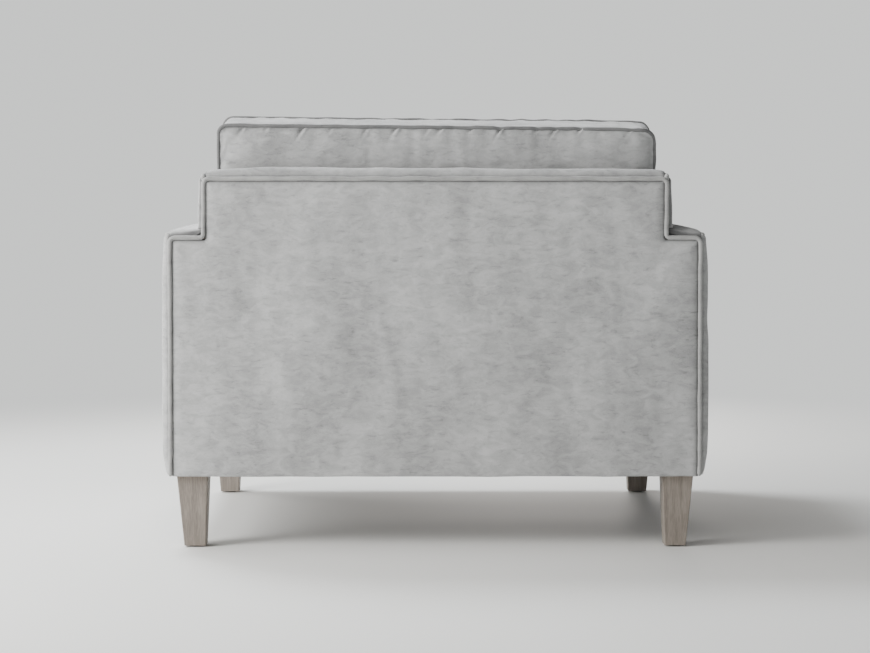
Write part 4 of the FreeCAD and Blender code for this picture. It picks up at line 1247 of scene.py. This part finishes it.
line, outer = zigzag()
cords("zigzag_springs",
      [tube(line + [x, 0, 0], (0, 0, 1), WIRE, step=0.0035, sides=6, uneven=0)
       for x in np.linspace(-outer, outer, 8)],
      spring_steel, ["seat_springs"])


def zip_tape(body, outward, across):
    """The tape: a band with the beating coil raised along its middle.

    Over the coil the height is half an ellipse, times a beat that a sine gives each tooth.
    """
    lo, hi = low(body + "_zip_tape"), high(body + "_zip_tape")
    outward, across = np.array(outward, float), np.array(across, float)
    middle = (lo + hi) / 2
    face = np.where(outward > 0, hi, lo)
    half, coil, tooth = 0.013, 0.002, 0.0024
    s = np.concatenate([np.linspace(-half, -coil, 6), coil * np.cos(np.linspace(np.pi, 0, 8))[1:-1],
                        np.linspace(coil, half, 6)])
    x = np.arange(lo[0], hi[0], tooth / 4)
    beat = 0.70 + 0.30 * np.abs(np.sin(np.pi * x / tooth))
    bump = np.sqrt(np.maximum(1 - (s / coil) ** 2, 0))
    height = 0.0018 * (bump * beat[:, None] - 1)
    points = middle * across + face * np.abs(outward) + (
        s[None, :, None] * across + height[..., None] * outward)
    points[..., 0] = x[:, None]
    made = sheet(body + "_zip", points, middle - outward * 0.2, tape_weave, body=body,
                 slot="zip_tape", thickness=0.0009)
    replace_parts(made, body + "_zip_tape")


zip_tape("seat_cushion", (0, 1, 0), (0, 0, 1))
zip_tape("back_cushion", (0, 0, -1), (0, 1, 0))

# ---- floor, light and camera ---------------------------------------------------------------
BACKGROUND = (0.98, 1.0, 0.985)
SHADED, SUNLIT = (0.08, 0.08, 0.08), (2.1, 2.1, 2.07)  # the sky away from and on the window's side
FLOOR_FADE = (1.3, 3.0)  # where the floor starts and ends its fade, from the chair's middle
FLOOR_EDGE = 60.0


def floor_material():
    """A pale matt floor that fades into the background's own light far from the chair."""
    material = bpy.data.materials.new("pale_floor")
    material.use_nodes = True
    tree = material.node_tree
    shader = tree.nodes["Principled BSDF"]
    shader.inputs["Base Color"].default_value = (0.84, 0.84, 0.82, 1)
    shader.inputs["Roughness"].default_value = 0.75
    glow = tree.nodes.new("ShaderNodeEmission")
    glow.inputs["Color"].default_value = (*BACKGROUND, 1)
    length = tree.nodes.new("ShaderNodeVectorMath")
    length.operation = "LENGTH"
    tree.links.new(tree.nodes.new("ShaderNodeTexCoord").outputs["Object"], length.inputs[0])
    far = levels(tree, length.outputs["Value"], *FLOOR_FADE)
    mix = tree.nodes.new("ShaderNodeMixShader")
    tree.links.new(far, mix.inputs[0])
    tree.links.new(shader.outputs[0], mix.inputs[1])
    tree.links.new(glow.outputs[0], mix.inputs[2])
    tree.links.new(mix.outputs[0], tree.nodes["Material Output"].inputs["Surface"])
    return material


turn = np.linspace(0, 2 * np.pi, 97)[:-1]
ring = np.stack([np.cos(turn), np.sin(turn), 0 * turn], -1)
disc = np.concatenate([[[0, 0, 0]], ring * FLOOR_FADE[1], ring * FLOOR_EDGE])
spoke = 1 + np.arange(96)
ahead = np.roll(spoke, -1)
floor_mesh = bpy.data.meshes.new("floor")
floor_mesh.from_pydata(
    disc.tolist(), [], np.stack([0 * spoke, spoke, ahead], -1).tolist()
    + np.stack([spoke, spoke + 96, ahead + 96, ahead], -1).tolist())
floor_mesh.materials.append(floor_material())
add("floor", floor_mesh)


def studio():
    """Pale all round near the horizon; higher up, bright on the window's side only."""
    world = bpy.data.worlds.new("studio")
    world.use_nodes = True
    tree = world.node_tree
    split = tree.nodes.new("ShaderNodeSeparateXYZ")
    tree.links.new(tree.nodes.new("ShaderNodeTexCoord").outputs["Generated"], split.inputs[0])
    side = levels(tree, split.outputs["X"], -0.15, 0.95)
    height = levels(tree, split.outputs["Z"], 0.09, 0.14)
    sky = mix_colour(tree, height, BACKGROUND, mix_colour(tree, side, SHADED, SUNLIT))
    tree.links.new(sky, tree.nodes["Background"].inputs["Color"])
    bpy.context.scene.world = world


studio()


def soft_light(name, place, aim, size, power, colour):
    """A round area lamp at a place, turned to its aim and unseen by the camera."""
    data = bpy.data.lights.new(name, "AREA")
    data.shape, data.size, data.energy, data.color = "DISK", size, power, colour
    lamp = add(name, data)
    lamp.location = place
    lamp.visible_camera = False
    lamp.rotation_euler = (Vector(aim) - Vector(place)).to_track_quat("-Z", "Y").to_euler()


soft_light("window", (2.25, 1.5, 1.4), (0, 0.3, 0.45), 1.3, 80, (1.0, 0.99, 0.97))
soft_light("overhead", (1.4, -1.2, 3.2), (0, 0, 0.5), 1.2, 120, (0.93, 0.97, 1.0))
soft_light("low_window", (3.2, -2.0, 0.85), (0, 0, 0.1), 1.3, 36, (1.0, 0.96, 0.90))
soft_light("front_fill", (-0.4, -3.3, 0.6), (0, 0, 0), 1.0, 50, (1.0, 0.95, 0.90))

camera_data = bpy.data.cameras.new("camera")
camera_data.sensor_width, camera_data.lens, camera_data.shift_y = 36.0, 89.97, -0.07
camera = add("camera", camera_data)
camera.location = (0.0196, 4.7494, 0.7219)
pitch, yaw = math.radians(2.075), math.radians(-0.254)
ahead = (math.sin(yaw) * math.cos(pitch), -math.cos(yaw) * math.cos(pitch), -math.sin(pitch))
camera.rotation_euler = Vector(ahead).to_track_quat("-Z", "Y").to_euler()
bpy.context.scene.camera = camera
